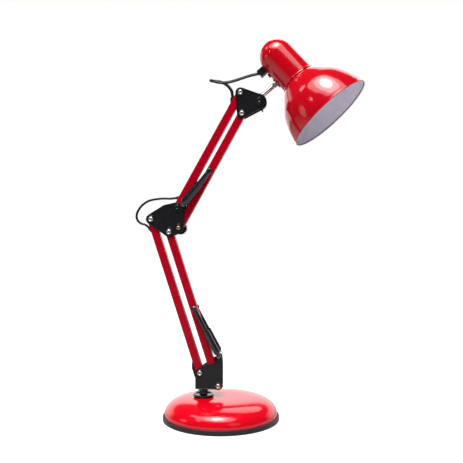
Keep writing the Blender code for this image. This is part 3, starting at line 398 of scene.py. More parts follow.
def swept(name, path, outline_at, look):
    """A capped tube. outline_at(index, point, tangent) gives the places round each point."""
    bm = bmesh.new()
    rings = []
    for i, at in enumerate(path):
        ahead = path[min(i + 1, len(path) - 1)] - path[max(i - 1, 0)]
        rings.append([bm.verts.new(p) for p in outline_at(i, at, ahead.normalized())])
    count = len(rings[0])
    for a, b in zip(rings, rings[1:]):
        for i in range(count):
            j = (i + 1) % count
            bm.faces.new((a[i], a[j], b[j], b[i]))
    bm.faces.new(rings[0])
    bm.faces.new(rings[-1])
    return smooth(add(name, bm, look), 50)


# ---- the lead -------------------------------------------------------------------

LOBE_R = 0.0016
LOBE_OUT = 0.0010
LOBE_STEPS = 7
LOBE_START = -126  # degrees
LOBE_STEP = 42


def twin_outline():
    """The section: two round lobes side by side."""
    points = []
    for way, out in ((0, LOBE_OUT), (180, -LOBE_OUT)):
        for step in range(LOBE_STEPS):
            a = math.radians(way + LOBE_START + LOBE_STEP * step)
            points.append((out + LOBE_R * math.cos(a), LOBE_R * math.sin(a)))
    return points


TWIN = twin_outline()


def lead(name, path, across):
    """A flat twin lead. across(tangent) gives the direction of its wide side."""

    def outline(_, at, ahead):
        wide = across(ahead)
        wide = (wide - ahead * wide.dot(ahead)).normalized()
        thin = ahead.cross(wide)
        return [at + wide * x + thin * y for x, y in TWIN]

    return swept(name, path, outline, LOOKS["black_pvc"])


def slanted(ahead):
    """The wide side of the loop at the head, partly turned to the back."""
    return BACK * 0.62 + BACK.cross(ahead) * 0.78


def upright(_):
    return UP


def sideways(_):
    return RIGHT


def flatwise(_):
    return BACK


HEAD_LOOP = [
    (0.0510, 0.0016, 0.5290),
    (0.0430, -0.0006, 0.5266),
    (0.0328, -0.0032, 0.5228),
    (0.0215, -0.0062, 0.5186),
    (0.0106, -0.0088, 0.5156),
    (-0.0004, -0.0106, 0.5150),
    (-0.0108, -0.0080, 0.5180),
    (-0.0158, 0.0000, 0.5208),
    (-0.0120, 0.0078, 0.5216),
    (-0.0026, 0.0096, 0.5208),
    (0.0060, 0.0074, 0.5170),
    (0.0120, 0.0048, 0.5112),
    (0.0162, 0.0020, 0.5046),
]
ELBOW_LOOP = [
    (-0.0790, 0, 0.3388),
    (-0.0868, 0, 0.3391),
    (-0.0966, 0, 0.3386),
    (-0.1106, 0, 0.3362),
    (-0.1211, 0, 0.3304),
    (-0.1289, 0, 0.3214),
    (-0.1319, 0, 0.3124),
    (-0.1302, 0, 0.3053),
    (-0.1250, 0, 0.3005),
    (-0.1184, 0, 0.2986),
]
BRACKET_WAY = [
    (-0.0414, 0, 0.0735),
    (-0.0398, 0, 0.0682),
    (-0.0384, 0, 0.0638),
    (-0.0357, 0, 0.0607),
    (-0.0320, 0.0010, 0.0594),
    (-0.0296, 0.0038, 0.0590),
    (-0.0290, 0.0085, 0.0590),
    (-0.0290, 0.0170, 0.0590),
    (-0.0290, 0.0260, 0.0590),
]
FLOOR_WAY = [
    (-0.0290, 0.0262, 0.0590),
    (-0.0290, 0.0326, 0.0587),
    (-0.0291, 0.0388, 0.0545),
    (-0.0294, 0.0440, 0.0473),
    (-0.0300, 0.0500, 0.0411),
    (-0.0312, 0.0570, 0.0366),
    (-0.0330, 0.0650, 0.0324),
    (-0.0352, 0.0732, 0.0264),
    (-0.0375, 0.0792, 0.0200),
    (-0.0394, 0.0840, 0.0146),
    (-0.0414, 0.0890, 0.0106),
]
SINK = [(CORD_FROM, CORD_OUT), (0.0145, 0.0076), (0.0190, 0.0053), (0.0240, 0.0032)]
BRACKET_BENDS = 12  # the bracket_cord point that stretch is given as its end
SHORT_SINK = [(0.0112, 0.0092), (0.0140, 0.0062), (0.0185, 0.0036), (0.0240, CORD_IN)]


def beside(start, end, far, out):
    """A point by a tube: far along it from start, and out from its axis to the left."""
    along = (end - start).normalized()
    left = Vector((-along.z, 0, along.x))
    if left.x > 0:
        left = -left
    return start + along * far + left * out


def through_tube(start, end, last=SINK):
    """The lead's way into a tube, through it and out at its other end."""
    long = (end - start).length
    inside = [(0.0300, CORD_IN), (0.0600, CORD_IN)]
    near = [beside(start, end, far, out) for far, out in SINK + inside]
    return near + [beside(start, end, long - far, out) for far, out in reversed(last + inside)]


def shares(route, *parts):
    """The route cut at the given shares of its length. Neighbours share an end point."""
    cuts = [0, *(round(share * (len(route) - 1)) for share in parts), len(route) - 1]
    return [route[low : high + 1] for low, high in zip(cuts, cuts[1:])]


def stretch(name, path, start, end, across=slanted):
    """One stretch of lead, baked in place of the CAD node of the same name."""
    o = lead(name, path, across)
    tuple(start)
    tuple(end)
    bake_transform(o)
    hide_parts(name)
    return o


def make_loops():
    """The loops at the head, elbow and lower bracket, and the lengths inside the tubes."""
    way = [GLAND_MOUTH - HEAD_FRAME.to_3x3() @ Vector((0.004, 0, 0)), *HEAD_LOOP]
    way.append(beside(HEAD_UPPER, ELBOW_UPPER, CORD_FROM, CORD_OUT))
    loop = shares(smooth_route(way, 0.0015), 0.13, 0.25, 0.46)
    for i, path in enumerate(loop[:3]):
        stretch(f"head_cord_{i + 1}", path, path[0], path[-1])
    way = loop[3] + smooth_route(through_tube(HEAD_UPPER, ELBOW_UPPER, SHORT_SINK), 0.003)[1:]
    entry = beside(HEAD_UPPER, ELBOW_UPPER, 0.0190, 0.0053)
    stretch("upper_arm_cord", way, loop[3][0], entry)
    first = beside(ELBOW_UPPER, HEAD_UPPER, 0.0112, 0.0092)
    last = beside(ELBOW_LEFT, LOWER_PIVOT, CORD_FROM, CORD_OUT)
    upper, lower = shares(smooth_route([first, *ELBOW_LOOP, last], 0.0015), 0.60)
    stretch("elbow_cord", upper, upper[0], upper[-1], flatwise)
    way = lower + smooth_route(through_tube(ELBOW_LEFT, LOWER_PIVOT), 0.003)[1:]
    entry = beside(ELBOW_LEFT, LOWER_PIVOT, 0.0190, 0.0053)
    stretch("lower_arm_cord", way, lower[0], entry, flatwise)
    first = beside(LOWER_PIVOT, ELBOW_LEFT, CORD_FROM, CORD_OUT)
    way = smooth_route([first, *BRACKET_WAY], 0.0012)
    stretch("bracket_cord", way, way[0], way[BRACKET_BENDS], sideways)


HANK_LONG = 0.1000
TURN_Y = 0.0192  # the near fold's centre, along the hank
COLUMNS = (0.0174, 0.0141, 0.0108, 0.0075)
LAYERS = (0.0030, 0.0081)
TURN_STEPS = 12  # points on each straight and each fold
LAST_STEPS = 8  # points on the last fold, which ends early
PLUG_FROM = 0.0400
PLUG_MID = 0.0183
PLUG_SIDES = 32
PLUG_PIN_OUT = 0.0095


def hank_turns():
    """The wound part: inwards on the lower layer, and outwards on the upper one."""
    turns = [(r, LAYERS[0]) for r in COLUMNS] + [(r, LAYERS[1]) for r in reversed(COLUMNS)]
    far_y = HANK_LONG - TURN_Y
    points = []
    for k, (r, z) in enumerate(turns):
        after, high = turns[k + 1] if k + 1 < len(turns) else (r, z)
        for i in range(1, TURN_STEPS):
            points.append((-r, TURN_Y + (far_y - TURN_Y) * i / TURN_STEPS, z))
        for i in range(TURN_STEPS + 1):
            a = math.pi - math.pi * i / TURN_STEPS
            points.append((r * math.cos(a), far_y + r * math.sin(a), z))
        for i in range(1, TURN_STEPS):
            points.append((r, far_y - (far_y - TURN_Y) * i / TURN_STEPS, z))
        last = k + 1 == len(turns)
        for i in range((LAST_STEPS if last else TURN_STEPS) + 1):
            t = i / TURN_STEPS
            a = -math.pi * t
            wide = r + (after - r) * t
            points.append((wide * math.cos(a), TURN_Y + wide * math.sin(a), z + (high - z) * t))
    return points


def make_free_lead():
    """The lead from the relief to the plug, folded in a hank behind the base."""
    start = [(-0.0145, 0.0050, 0.0074), (-0.0160, 0.0100, 0.0048), (-0.0170, 0.0155, 0.0033)]
    finish = [
        (-0.0098, 0.0080, 0.0108),
        (-0.0082, 0.0142, 0.0134),
        (-0.0054, 0.0210, 0.0155),
        (-0.0020, 0.0290, 0.0174),
        (0, 0.0370, PLUG_MID),
        (0, PLUG_FROM + 0.0030, PLUG_MID),
    ]
    wound = [HANK_FRAME @ Vector(p) for p in [*start, *hank_turns(), *finish]]
    path = smooth_route([*FLOOR_WAY, *wound], 0.0030)
    made = lead("mains_lead", path, upright)
    tuple(path[0])
    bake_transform(made)
    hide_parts("floor_cord", "folded_cord")
    tie = make_tie((-0.0198, 0.0285, 0.00005), (0.0198, 0.0325, 0.0115))
    plug = make_plug()
    length = sum((b - a).length for a, b in zip(path, path[1:]))
    tuple(path[0])
    [tuple(p) for p in path]


def make_tie(low, high):
    """A flat band round the folded lead."""
    o = box("lead_tie", low, high, LOOKS["black_rubber"], HANK_FRAME, 0.0012)
    return settle(o, "black_rubber", "base", "folded_cord")


def rounded(share, half, power):
    """A superellipse's coordinate. share is the cosine or sine of the angle."""
    return math.copysign(abs(share) ** (2 / power), share) * half


def make_plug():
    """A plain two-pin plug at the end of the lead."""
    place = HANK_FRAME @ Matrix.Translation((0, PLUG_FROM, PLUG_MID))
    sections = [  # along the plug, half width, half height, how square it is
        (0.0000, 0.0030, 0.0030, 2.0),
        (0.0003, 0.0036, 0.0036, 2.0),
        (0.0045, 0.0040, 0.0040, 2.0),
        (0.0052, 0.0090, 0.0050, 3.0),
        (0.0100, 0.0105, 0.0054, 3.0),
        (0.0115, 0.0165, 0.0064, 4.0),
        (0.0125, 0.0172, 0.0069, 4.0),
        (0.0240, 0.0168, 0.0066, 4.0),
        (0.0350, 0.0175, 0.0070, 4.0),
        (0.0366, 0.0171, 0.0066, 4.0),
        (0.0370, 0.0150, 0.0048, 4.0),
    ]
    path = [Vector((0, y, 0)) for y, *_ in sections]

    def outline(i, at, _):
        wide, high, power = sections[i][1:]
        points = []
        for k in range(PLUG_SIDES):
            a = 2 * math.pi * k / PLUG_SIDES
            x = rounded(math.cos(a), wide, power)
            z = rounded(math.sin(a), high, power)
            points.append(at + Vector((x, 0, z)))
        return points

    body = swept("plug_body", path, outline, LOOKS["black_plastic"])
    body.data.transform(place)
    made = [settle(body, "black_plastic", "base", "mains_plug")]
    line = [(0, 0.0360), (0.0020, 0.0360), (0.0020, 0.0545), (0.0014, 0.0553), (0, 0.0555)]
    along = Matrix.Rotation(math.radians(-90), 4, "X")
    for side, word in ((-1, "left"), (1, "right")):
        at = place @ Matrix.Translation((side * PLUG_PIN_OUT, 0, 0)) @ along
        pin = turned(f"plug_pin_{word}", line, LOOKS["nickel"], 20, place=at)
        made.append(settle(pin, "nickel", "base", "mains_plug"))
    return made


make_free_lead()
make_loops()

# ---- base -----------------------------------------------------------------------

COVER_STEPS = 40


def make_base():
    """The domed cover, its rubber rim, the collar and the swivel's post."""
    rise = COVER_TOP - COVER_SPRING
    line = []
    for i in range(COVER_STEPS + 1):
        a = math.pi / 2 * i / COVER_STEPS
        r = COVER_R * math.sin(a) ** (2 / COVER_POWER)
        line.append((r, COVER_SPRING + rise * math.cos(a)))
    line += [(COVER_R, COVER_FOOT + 0.0003), (COVER_R - 0.0010, COVER_FOOT)]
    line += [(COVER_R - 0.0010, COVER_SPRING)]
    # The cover wears the lighter copy of the red paint, which has painted light in its colour.
    cover = turned("dome_cover", line, DOME_RED_PAINTED_LIGHT, 128)
    settle(cover, "red_gloss", "base", "base_cover")
    channel = COVER_R + GAP
    line = [(channel, 0.0070), (channel + 0.0005, 0.0075), (BASE_R - 0.0012, 0.0074)]
    line += [(BASE_R - 0.0003, 0.0068), (BASE_R, 0.0058), (BASE_R, 0.0012)]
    line += [(BASE_R - 0.0004, 0.0004), (BASE_R - 0.0012, 0), (0.0798, 0), (0.0798, 0.0016)]
    line += [(channel, 0.0016)]
    rim = turned("rubber_rim", line, LOOKS["black_rubber"], 128, closed=True)
    settle(rim, "black_rubber", "base", "base_rim")
    place = Matrix.Translation((POST_X, 0, 0))
    line = [(0.0053, 0.0368), (0.0128, 0.0369), (0.0140, 0.0375), (0.0150, 0.0376)]
    line += [(0.0158, 0.0371), (0.0160, 0.0362), (0.0157, 0.0353), (0.0146, 0.0339)]
    line += [(0.0053, 0.0338)]
    collar = turned("swivel_collar", line, LOOKS["black_plastic"], 64, closed=True, place=place)
    settle(collar, "black_plastic", "base", "post_collar")
    line = [(0, 0.0540), (0.0040, 0.0540), (0.0040, 0.0457), (0.0066, 0.0457), (0.0068, 0.0455)]
    line += [(0.0068, 0.0419), (0.0105, 0.0416), (0.0111, 0.0412), (0.0111, 0.0405)]
    line += [(0.0105, 0.0401), (0.0069, 0.0399), (0.0068, 0.0380), (0.0050, 0.0379)]
    line += [(0.0050, 0.0120), (0, 0.0120)]
    stem = turned("swivel_post", line, LOOKS["black_plastic"], 48, place=place)
    settle(stem, "black_plastic", "swivel", "swivel_stem")


make_base()

# ---- plates ---------------------------------------------------------------------

FACES_FRONT = -0.99  # a face whose normal's y is below this looks to the front


def front_outline(node):
    """The outer edge of the CAD node's face that looks to the front, as (x, z)."""
    bm = bmesh.new()
    bm.from_mesh(NODES[node].data)
    bmesh.ops.remove_doubles(bm, verts=bm.verts, dist=1e-6)
    caps = {f for f in bm.faces if f.normal.y < FACES_FRONT}
    links = {}
    for e in bm.edges:
        if sum(f in caps for f in e.link_faces) == 1:
            for a, b in (e.verts, reversed(e.verts)):
                links.setdefault(a, []).append(b)
    loops = []
    left = set(links)
    while left:
        at = left.pop()
        loop = [at]
        before = None
        while True:
            following = [v for v in links[at] if v is not before and v in left]
            if not following:
                break
            before, at = at, following[0]
            left.discard(at)
            loop.append(at)
        loops.append([(v.co.x, v.co.z) for v in loop])
    bm.free()
    return max(loops, key=lambda p: max(x for x, _ in p) - min(x for x, _ in p))


def inset(points, by):
    """A closed outline moved inwards."""
    area = sum(ax * bz - bx * az for (ax, az), (bx, bz) in zip(points, points[1:] + points[:1]))
    turn = 1 if area > 0 else -1
    moved = []
    for i, (x, z) in enumerate(points):
        ax, az = points[i - 1]
        bx, bz = points[(i + 1) % len(points)]
        ahead = Vector((bx - ax, bz - az))
        if ahead.length < 1e-9:
            moved.append((x, z))
            continue
        ahead.normalize()
        moved.append((x - ahead.y * by * turn, z + ahead.x * by * turn))
    return moved


def embossed(name, node, side, body, marks):
    """A pressed plate with a rolled rim, a sunk field and raised rings at its fasteners."""
    edge = front_outline(node)
    inner = PLATE_IN * side
    outer = (PLATE_OUT - 0.0002) * side
    rings = [  # how far in from the edge, and y
        (0.0000, inner),
        (0.0000, outer - 0.0005 * side),
        (0.0004, outer),
        (0.0008, outer),
        (0.0013, outer - 0.0006 * side),
    ]
    bm = bmesh.new()
    loops = [[bm.verts.new((x, y, z)) for x, z in inset(edge, by)] for by, y in rings]
    for a, b in zip(loops, loops[1:]):
        for i in range(len(a)):
            j = (i + 1) % len(a)
            bm.faces.new((a[i], a[j], b[j], b[i]))
    bm.faces.new(loops[0])
    bm.faces.new(loops[-1])
    bmesh.ops.triangulate(bm, faces=[f for f in bm.faces if len(f.verts) > 4])
    plate = smooth(add(name, bm, LOOKS["black_paint"]), 30)
    settle(plate, "black_paint", body, node)
    low = PLATE_IN
    high = PLATE_OUT - 0.0001
    for i, (at, radius) in enumerate(marks):
        line = [(0, low), (radius, low), (radius, high - 0.0004), (radius - 0.0005, high)]
        line += [(0, high)]
        place = turn_to(BACK * side, at)
        ring = turned(f"{name}_ring_{i}", line, LOOKS["black_paint"], 32, place=place)
        settle(ring, "black_paint", body)


def make_plates():
    """The three brackets. Each fastener has a raised ring of the radius beside it."""
    lower = [(LOWER_PIVOT, 0.0056), (LOWER_RIGHT, 0.0056)]
    elbow = [(p, 0.0064) for p in (ELBOW_LEFT, ELBOW_RIGHT, KNEE_PIVOT, ELBOW_UPPER)]
    head = [(HEAD_UPPER, 0.0062), (HEAD_LOWER, 0.0062), (TILT_PIVOT, 0.0068)]
    for word, side in (("front", -1), ("back", 1)):
        embossed(f"lower_bracket_{word}", f"lower_plate_{word}", side, "swivel", lower)
        embossed(f"elbow_bracket_{word}", f"elbow_plate_{word}", side, "elbow", elbow)
        embossed(f"head_bracket_{word}", f"head_plate_{word}", side, "head_bracket", head)


make_plates()

# ---- fasteners ------------------------------------------------------------------


def make_rivets():
    """Domed rivets, and the two bolts under the nuts."""
    half = [
        (0, 0.0090),
        (0.0012, 0.0090),
        (0.0017, 0.0098),
        (0.0025, 0.0102),
        (0.0033, 0.0099),
        (0.0039, 0.0092),
        (0.0041, 0.0086),
        (0.0040, 0.0083),
        (0.0024, 0.0083),
    ]
    line = half + [(r, -z) for r, z in reversed(half)]
    places = {
        "lower_rivet_left": (LOWER_PIVOT, "swivel"),
        "lower_rivet_right": (LOWER_RIGHT, "swivel"),
        "elbow_rivet_left": (ELBOW_LEFT, "elbow"),
        "elbow_rivet_right": (ELBOW_RIGHT, "elbow"),
        "elbow_rivet_upper": (ELBOW_UPPER, "elbow"),
        "head_rivet_lower": (HEAD_LOWER, "head_bracket"),
        "head_rivet_upper": (HEAD_UPPER, "head_bracket"),
    }
    for node, (at, body) in places.items():
        slot = "black_paint" if node == "elbow_rivet_upper" else "nickel"
        o = turned(f"{node}_domed", line, LOOKS[slot], 36, place=turn_to(BACK, at))
        settle(o, slot, body, node)
    line = [(0, -0.0094), (0.0012, -0.0094), (0.0015, -0.0101), (0.0022, -0.0101)]
    line += [(0.0031, -0.0094), (0.0034, -0.0086), (0.0024, -0.0085), (0.0024, 0.0205)]
    line += [(0, 0.0205)]
    bolt = turned("knee_bolt", line, LOOKS["brass"], 32, place=turn_to(BACK, KNEE_PIVOT))
    settle(bolt, "brass", "elbow", "elbow_bolt")
    line = [(0, -0.0088), (0.0026, -0.0088), (0.0030, -0.0100), (0.0042, -0.0101)]
    line += [(0.0050, -0.0094), (0.0050, -0.0085), (0.0024, -0.0085), (0.0024, 0.0190)]
    line += [(0, 0.0190)]
    bolt = turned("head_bolt", line, LOOKS["black_paint"], 32, place=turn_to(BACK, TILT_PIVOT))
    settle(bolt, "black_paint", "head_bracket", "tilt_bolt")
    line = [(0, -0.0093), (0.0016, -0.0093), (0.0016, -0.0088), (0, -0.0088)]
    hexed = turned("head_bolt_socket", line, LOOKS["nickel"], 6, place=turn_to(BACK, TILT_PIVOT))
    settle(hexed, "nickel", "head_bracket")


make_rivets()

# ---- springs and sleeves --------------------------------------------------------

COIL_FROM = 0.0170  # where a coil starts, from its hook
COIL_SHORT = 0.0090  # how far before the pin it ends
COIL_PITCH = 2.6  # in wire radii
COIL_STEPS = 12  # for each turn
WIRE_SIDES = 6
LOOP_R = 0.0032
LOOP_WIRE = 0.0006
LOOP_SIDES = 8
LOOP_FROM = 0.0030  # the loop's middle, from the hook
PEG_R = 0.0007
SLEEVE_STEPS = 36
SLEEVE_END = 0.0018  # the plain length at each end of a sleeve
RIPPLE_OUT = 0.00010
RIPPLE_IN = 0.00005


def coil(name, hook, pin, radius, wire, side, bodies, node):
    """A close coil that hangs from the pin, and the leg, loop and peg at its hook."""
    foot, head = bodies
    steel = LOOKS["spring_steel"]
    away = (pin - hook).normalized()
    at = hook + BACK * side * SPRING_Y
    place = turn_to(away, at)
    stop = (pin - hook).length - COIL_SHORT
    steps = int((stop - COIL_FROM) / (wire * COIL_PITCH)) * COIL_STEPS
    path = []
    for i in range(steps + 1):
        a = 2 * math.pi * i / COIL_STEPS
        z = COIL_FROM + (stop - COIL_FROM) * i / steps
        path.append(place @ Vector((radius * math.cos(a), radius * math.sin(a), z)))

    def round_coil(_, at, ahead):
        middle = place @ Vector((0, 0, (place.inverted() @ at).z))
        one = at - middle
        one = (one - ahead * one.dot(ahead)).normalized()
        two = ahead.cross(one)
        angles = [2 * math.pi * k / WIRE_SIDES for k in range(WIRE_SIDES)]
        return [at + (one * math.cos(a) + two * math.sin(a)) * wire for a in angles]

    settle(swept(name, path, round_coil, steel), "spring_steel", head)
    line = [(0, -0.0004), (wire, -0.0002), (wire, COIL_FROM + 0.0030), (0, COIL_FROM + 0.0034)]
    leg = turned(f"{name}_leg", line, steel, 12, place=place)
    settle(leg, "spring_steel", foot, node)
    line = []
    for k in range(LOOP_SIDES):
        a = 2 * math.pi * k / LOOP_SIDES
        line.append((LOOP_R + LOOP_WIRE * math.cos(a), LOOP_WIRE * math.sin(a)))
    place = turn_to(BACK, at + away * LOOP_FROM)
    loop = turned(f"{name}_loop", line, steel, 28, closed=True, place=place)
    settle(loop, "spring_steel", foot)
    low, high = sorted((side * (PLATE_IN + GAP), side * SPRING_Y))
    line = [(0, low), (PEG_R, low), (PEG_R, high + 0.0006), (0, high + 0.0006)]
    peg = turned(f"{name}_peg", line, steel, 14, place=turn_to(BACK, hook))
    settle(peg, "spring_steel", foot)


def sleeve(name, hook, pin, nose, stations, side, body, node):
    """A moulded outer sleeve with a tapered nose, a lip at its far end and a faint ripple.

    nose is (height, radius), and stations are (height, radius, wall) at the two ends.
    """
    away = (pin - hook).normalized()
    (near, near_r, wall), (far, far_r, _) = stations
    tip, tip_r = nose
    line = [(tip_r - wall, tip), (tip_r, tip), ((tip_r + near_r) / 2 + 0.0005, (tip + near) / 2)]
    line += [(near_r, near), (near_r, near + SLEEVE_END)]
    for i in range(1, SLEEVE_STEPS):
        t = i / SLEEVE_STEPS
        z = near + SLEEVE_END + (far - near - 2 * SLEEVE_END) * t
        r = near_r + (far_r - near_r) * t + (RIPPLE_OUT if i % 2 else -RIPPLE_IN)
        line.append((r, z))
    line += [(far_r, far - SLEEVE_END), (far_r + 0.0003, far - 0.0010), (far_r, far)]
    line += [(far_r - wall, far), (near_r - wall, near)]
    place = turn_to(away, hook + BACK * side * SPRING_Y)
    o = turned(name, line, SLEEVE, 32, closed=True, place=place)
    settle(o, "black_plastic", body, node)


def pin_neck(name, hook, pin, radius, side, body):
    """The solid end of an inner cover, where it meets the pin's knob."""
    line = [(0, 0), (radius * 0.8, 0), (radius, 0.0008), (radius, 0.0074), (0, 0.0078)]
    place = turn_to((hook - pin).normalized(), pin + BACK * side * SPRING_Y)
    o = turned(name, line, SLEEVE, 32, place=place)
    settle(o, "black_plastic", body)


def make_springs():
    """A sleeve, a neck and a coil on each side of each arm."""
    lower = [(0.0093, 0.0050, 0.0004), (0.0450, 0.0046, 0.0004)]
    upper = [(0.0080, 0.0062, 0.0004), (0.0440, 0.0058, 0.0004)]
    parts = (  # arm, hook, pin, nose, stations, and the radii of neck, coil and wire
        ("lower", LOWER_HOOK, LOWER_PIN, (0.0046, 0.0022), lower, 0.0031, 0.0013, 0.0005),
        ("upper", UPPER_HOOK, UPPER_PIN, (0.0030, 0.0042), upper, 0.0040, 0.0018, 0.0006),
    )
    for arm, hook, pin, nose, stations, neck_r, coil_r, wire in parts:
        foot, head = f"{arm}_spring_foot", f"{arm}_spring_head"
        for side, word in ((-1, "front"), (1, "back")):
            cover, spring = f"{arm}_cover_{word}", f"{arm}_spring_{word}"
            sleeve(f"{arm}_sleeve_{word}", hook, pin, nose, stations, side, foot, cover)
            pin_neck(f"{arm}_neck_{word}", hook, pin, neck_r, side, head)
            coil(f"{arm}_coil_{word}", hook, pin, coil_r, wire, side, (foot, head), spring)


make_springs()

# ---- head -----------------------------------------------------------------------

RED, WHITE, SHADOW_LINE = 0, 1, 2  # material indices of the shade and neck: red paint, white inside, and a painted shadow line just inside the lip
LIP_STEPS = 8
DOME_STEPS = 24
DOME_INNER_STEPS = 12
THREAD_STEPS = 26


def make_shade():
    """The bell, with a rolled lip, a white inside, a painted shadow line just inside the lip and
    a collar that sits in the neck.
    """
    line = [(0.0275, 0), (0.0330, 0.0045), (0.0442, 0.0172), (0.0550, 0.0312)]
    line += [(0.0627, 0.0490), (0.0668, 0.0650), (SHADE_R, 0.0725)]
    outer = [(p.x, NECK_LONG + p.z) for p in smooth_route([(r, 0, z) for r, z in line], 0.0022)]
    mouth = outer[-1][1]
    lip = []
    for k in range(LIP_STEPS + 1):
        a = math.radians(-30 + 210 * k / LIP_STEPS)
        r = SHADE_R + 0.0004 * math.cos(a) - 0.0002
        lip.append((r, mouth - 0.0006 + 0.0007 * math.sin(a)))
    inner = [(SHADE_R - 0.0010, mouth - 0.0011), (SHADE_R - 0.0012, mouth - 0.0023)]
    inner += [(r - SHEET_T, z) for r, z in reversed(outer[1:-2])]
    collar_out = [(NECK_R - 0.0012, NECK_LONG - 0.0080), (NECK_R - 0.0012, NECK_LONG - 0.0012)]
    collar_in = [(NECK_R - 0.0021, NECK_LONG + 0.0008), (NECK_R - 0.0021, NECK_LONG - 0.0080)]
    whole = [*collar_out, *outer[:-1], *lip, *inner, *collar_in]
    count_out = len(collar_out) + len(outer) + len(lip) - 2
    marks = [RED if k < count_out - 3 else WHITE for k in range(len(whole))]
    # The segment just inside the lip gets the painted shadow line.
    marks[count_out + 1] = SHADOW_LINE
    shade = turned(
        "bell_shade",
        whole,
        LOOKS["red_gloss"],
        128,
        closed=True,
        place=HEAD_FRAME,
        marks=marks,
        extra=(INNER, PAINTED_RIM_SHADOW),
    )
    settle(shade, "red_gloss", "head", "shade")


def quarter(radius, steps):
    """(radius, height) points of the neck's round end, from the axis outwards."""
    angles = [math.radians(90 * k / steps) for k in range(steps + 1)]
    return [(radius * math.sin(a), -radius * math.cos(a)) for a in angles]


def make_neck():
    """The neck, with a round end and a bead where the shade starts."""
    dome = quarter(NECK_R, DOME_STEPS)
    bead = [(NECK_R, NECK_LONG - 0.0026), (NECK_R + 0.0008, NECK_LONG - 0.0016)]
    bead += [(NECK_R + 0.0010, NECK_LONG - 0.0008), (NECK_R + 0.0004, NECK_LONG - 0.0002)]
    small = NECK_R - SHEET_T
    inside = [(small, NECK_LONG - 0.0006), *reversed(quarter(small, DOME_INNER_STEPS))]
    line = dome + bead + inside
    marks = [RED if k < len(dome) + len(bead) else WHITE for k in range(len(line) - 1)]
    neck = turned(
        "head_neck",
        line,
        LOOKS["red_gloss"],
        96,
        place=HEAD_FRAME,
        marks=marks,
        extra=(INNER,),
    )
    settle(neck, "red_gloss", "head", "neck")


def make_holder():
    """The lampholder's threaded shell, and the lug beside the gland."""
    line = [(0.0133, 0.0040), (0.0137, 0.0040)]
    for k in range(THREAD_STEPS + 1):
        z = 0.0050 + 0.0240 * k / THREAD_STEPS
        line.append((0.0136 - 0.0004 * (k % 4 in (1, 2)), z))
    line += [(0.0131, 0.0290)]
    shell = turned("holder_thread", line, LOOKS["brass"], 40, closed=True, place=HEAD_FRAME)
    settle(shell, "brass", "head")
    low = (NECK_R - 0.0004, -0.0030, INLET + 0.0092)
    high = (NECK_R + 0.0024, 0.0030, INLET + 0.0150)
    lug = box("vent_lug", low, high, LOOKS["red_gloss"], HEAD_FRAME, 0.0008)
    settle(lug, "red_gloss", "head")


make_shade()
make_neck()
make_holder()

# ---- finer edges on the CAD pieces ----------------------------------------------

SOFT_EDGES = {
    "elbow_knob": 0.0004,
    "wing_nut": 0.0004,
    "knuckle_fork": 0.0002,
    "rod_socket": 0.0003,
    "cord_gland": 0.0002,
    "switch_housing": 0.0002,
}
SHARP = math.radians(40)
for node, width in SOFT_EDGES.items():
    m = NODES[node].modifiers.new("soft_edge", "BEVEL")
    m.width = width
    m.segments = 2
    m.limit_method = "ANGLE"
    m.angle_limit = SHARP

# ---- studio ---------------------------------------------------------------------

WALL_EDGE = (0.30, 0.62)  # in the y of a direction
CEILING_EDGE = (0.36, 0.46)  # in its z
SKY_DIM = 0.07
SKY_BRIGHT = 1.6
SKY_SEEN = 1.0  # the world's strength, as the camera sees it
FLOOR_SIZE = 8
FLOOR_NEAR = 0.4  # the floor's glow rises between these distances from the lamp
FLOOR_FAR = 2.2
FLOOR_GLOW = (0.66, 0.95)
FLOOR_BOUNCE = 0.15  # the floor's glow, as the lamp sees it
LIGHTS = (  # name, place, the point it faces, width, height, watts
    ("top", (-0.30, -1.15, 3.30), (0.05, 0, 0.40), 4.0, 2.8, 105),
    ("top_mid", (-0.26, -1.06, 3.20), (0.10, 0, 0.45), 2.0, 2.0, 60),
    ("top_core", (-0.20, -1.00, 3.10), (0.10, 0, 0.45), 0.9, 1.1, 45),
    ("top_left", (-0.95, 0.05, 1.5), (-0.05, 0, 0.2), 0.35, 0.35, 1.2),
    ("spot", (-0.95, -0.80, 1.15), (-0.05, 0, 0.1), 0.16, 0.16, 0.5),
    ("left", (-1.6, -0.40, 0.62), (0, 0, 0.45), 0.50, 0.50, 0.9),
    ("front", (1.1, -1.7, 1.0), (0, 0, 0.3), 0.9, 0.9, 1.5),
    ("back", (0.5, 2.0, 2.3), (0, 0, 0.3), 2.0, 1.6, 20),
)
SCENE.view_settings.view_transform = "Standard"


def softbox(name, at, to, wide, high, power):
    """An oval light that faces a point."""
    data = bpy.data.lights.new(name, "AREA")
    data.shape = "ELLIPSE"
    data.size = wide
    data.size_y = high
    data.energy = power
    o = bpy.data.objects.new(name, data)
    o.location = at
    look = Vector(to) - Vector(at)
    o.rotation_euler = look.to_track_quat("-Z", "Y").to_euler()
    SCENE.collection.objects.link(o)


def ramped(tree, value, edge, first, last):
    """first before an edge (from, to), last after it, and a soft step between them."""
    found = tree.nodes.new("ShaderNodeMapRange")
    found.interpolation_type = "SMOOTHSTEP"
    found.inputs["From Min"].default_value = edge[0]
    found.inputs["From Max"].default_value = edge[1]
    found.inputs["To Min"].default_value = first
    found.inputs["To Max"].default_value = last
    tree.links.new(value, found.inputs["Value"])
    return found.outputs["Result"]


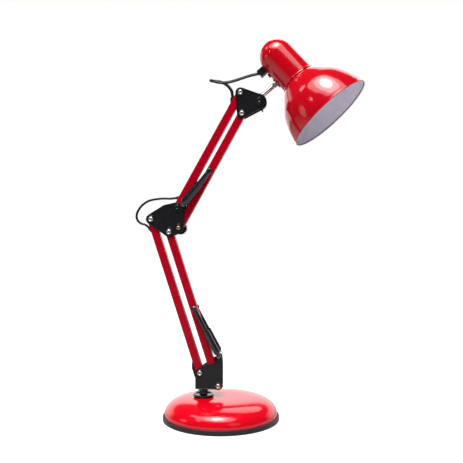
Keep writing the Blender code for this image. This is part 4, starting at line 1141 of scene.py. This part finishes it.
def make_world():
    """White to the camera. To the lamp, a bright wall behind it in a dim room."""
    world = bpy.data.worlds.new("studio")
    SCENE.world = world
    world.use_nodes = True
    tree = world.node_tree
    sky = tree.nodes["Background"]
    sky.inputs["Color"].default_value = (1, 1, 1, 1)
    where = tree.nodes.new("ShaderNodeTexCoord")
    split = tree.nodes.new("ShaderNodeSeparateXYZ")
    tree.links.new(where.outputs["Generated"], split.inputs["Vector"])
    wall = ramped(tree, split.outputs["Y"], WALL_EDGE, 0.0, 1.0)
    below = ramped(tree, split.outputs["Z"], CEILING_EDGE, 1.0, 0.0)
    both = tree.nodes.new("ShaderNodeMath")
    both.operation = "MULTIPLY"
    tree.links.new(wall, both.inputs[0])
    tree.links.new(below, both.inputs[1])
    ramp = tree.nodes.new("ShaderNodeMapRange")
    ramp.inputs["To Min"].default_value = SKY_DIM
    ramp.inputs["To Max"].default_value = SKY_BRIGHT
    tree.links.new(both.outputs["Value"], ramp.inputs["Value"])
    strength = by_ray(tree, SKY_SEEN, ramp.outputs["Result"])
    tree.links.new(strength, sky.inputs["Strength"])


def make_studio():
    """The floor, which glows towards the camera, with the world and the lights."""
    bm = bmesh.new()
    bmesh.ops.create_grid(bm, x_segments=1, y_segments=1, size=FLOOR_SIZE)
    made, tree, shader = shader_nodes("floor")
    shader.inputs["Base Color"].default_value = (0.42, 0.42, 0.43, 1)
    shader.inputs["Roughness"].default_value = 0.9
    shader.inputs["Emission Color"].default_value = (1, 1, 1, 1)
    where = tree.nodes.new("ShaderNodeTexCoord")
    far = tree.nodes.new("ShaderNodeVectorMath")
    far.operation = "LENGTH"
    tree.links.new(where.outputs["Object"], far.inputs[0])
    glow = tree.nodes.new("ShaderNodeMapRange")
    glow.inputs["From Min"].default_value = FLOOR_NEAR
    glow.inputs["From Max"].default_value = FLOOR_FAR
    glow.inputs["To Min"].default_value = FLOOR_GLOW[0]
    glow.inputs["To Max"].default_value = FLOOR_GLOW[1]
    tree.links.new(far.outputs["Value"], glow.inputs["Value"])
    strength = by_ray(tree, glow.outputs["Result"], FLOOR_BOUNCE)
    tree.links.new(strength, shader.inputs["Emission Strength"])
    floor = add("floor", bm, made)
    make_world()
    for light in LIGHTS:
        softbox(*light)


make_studio()
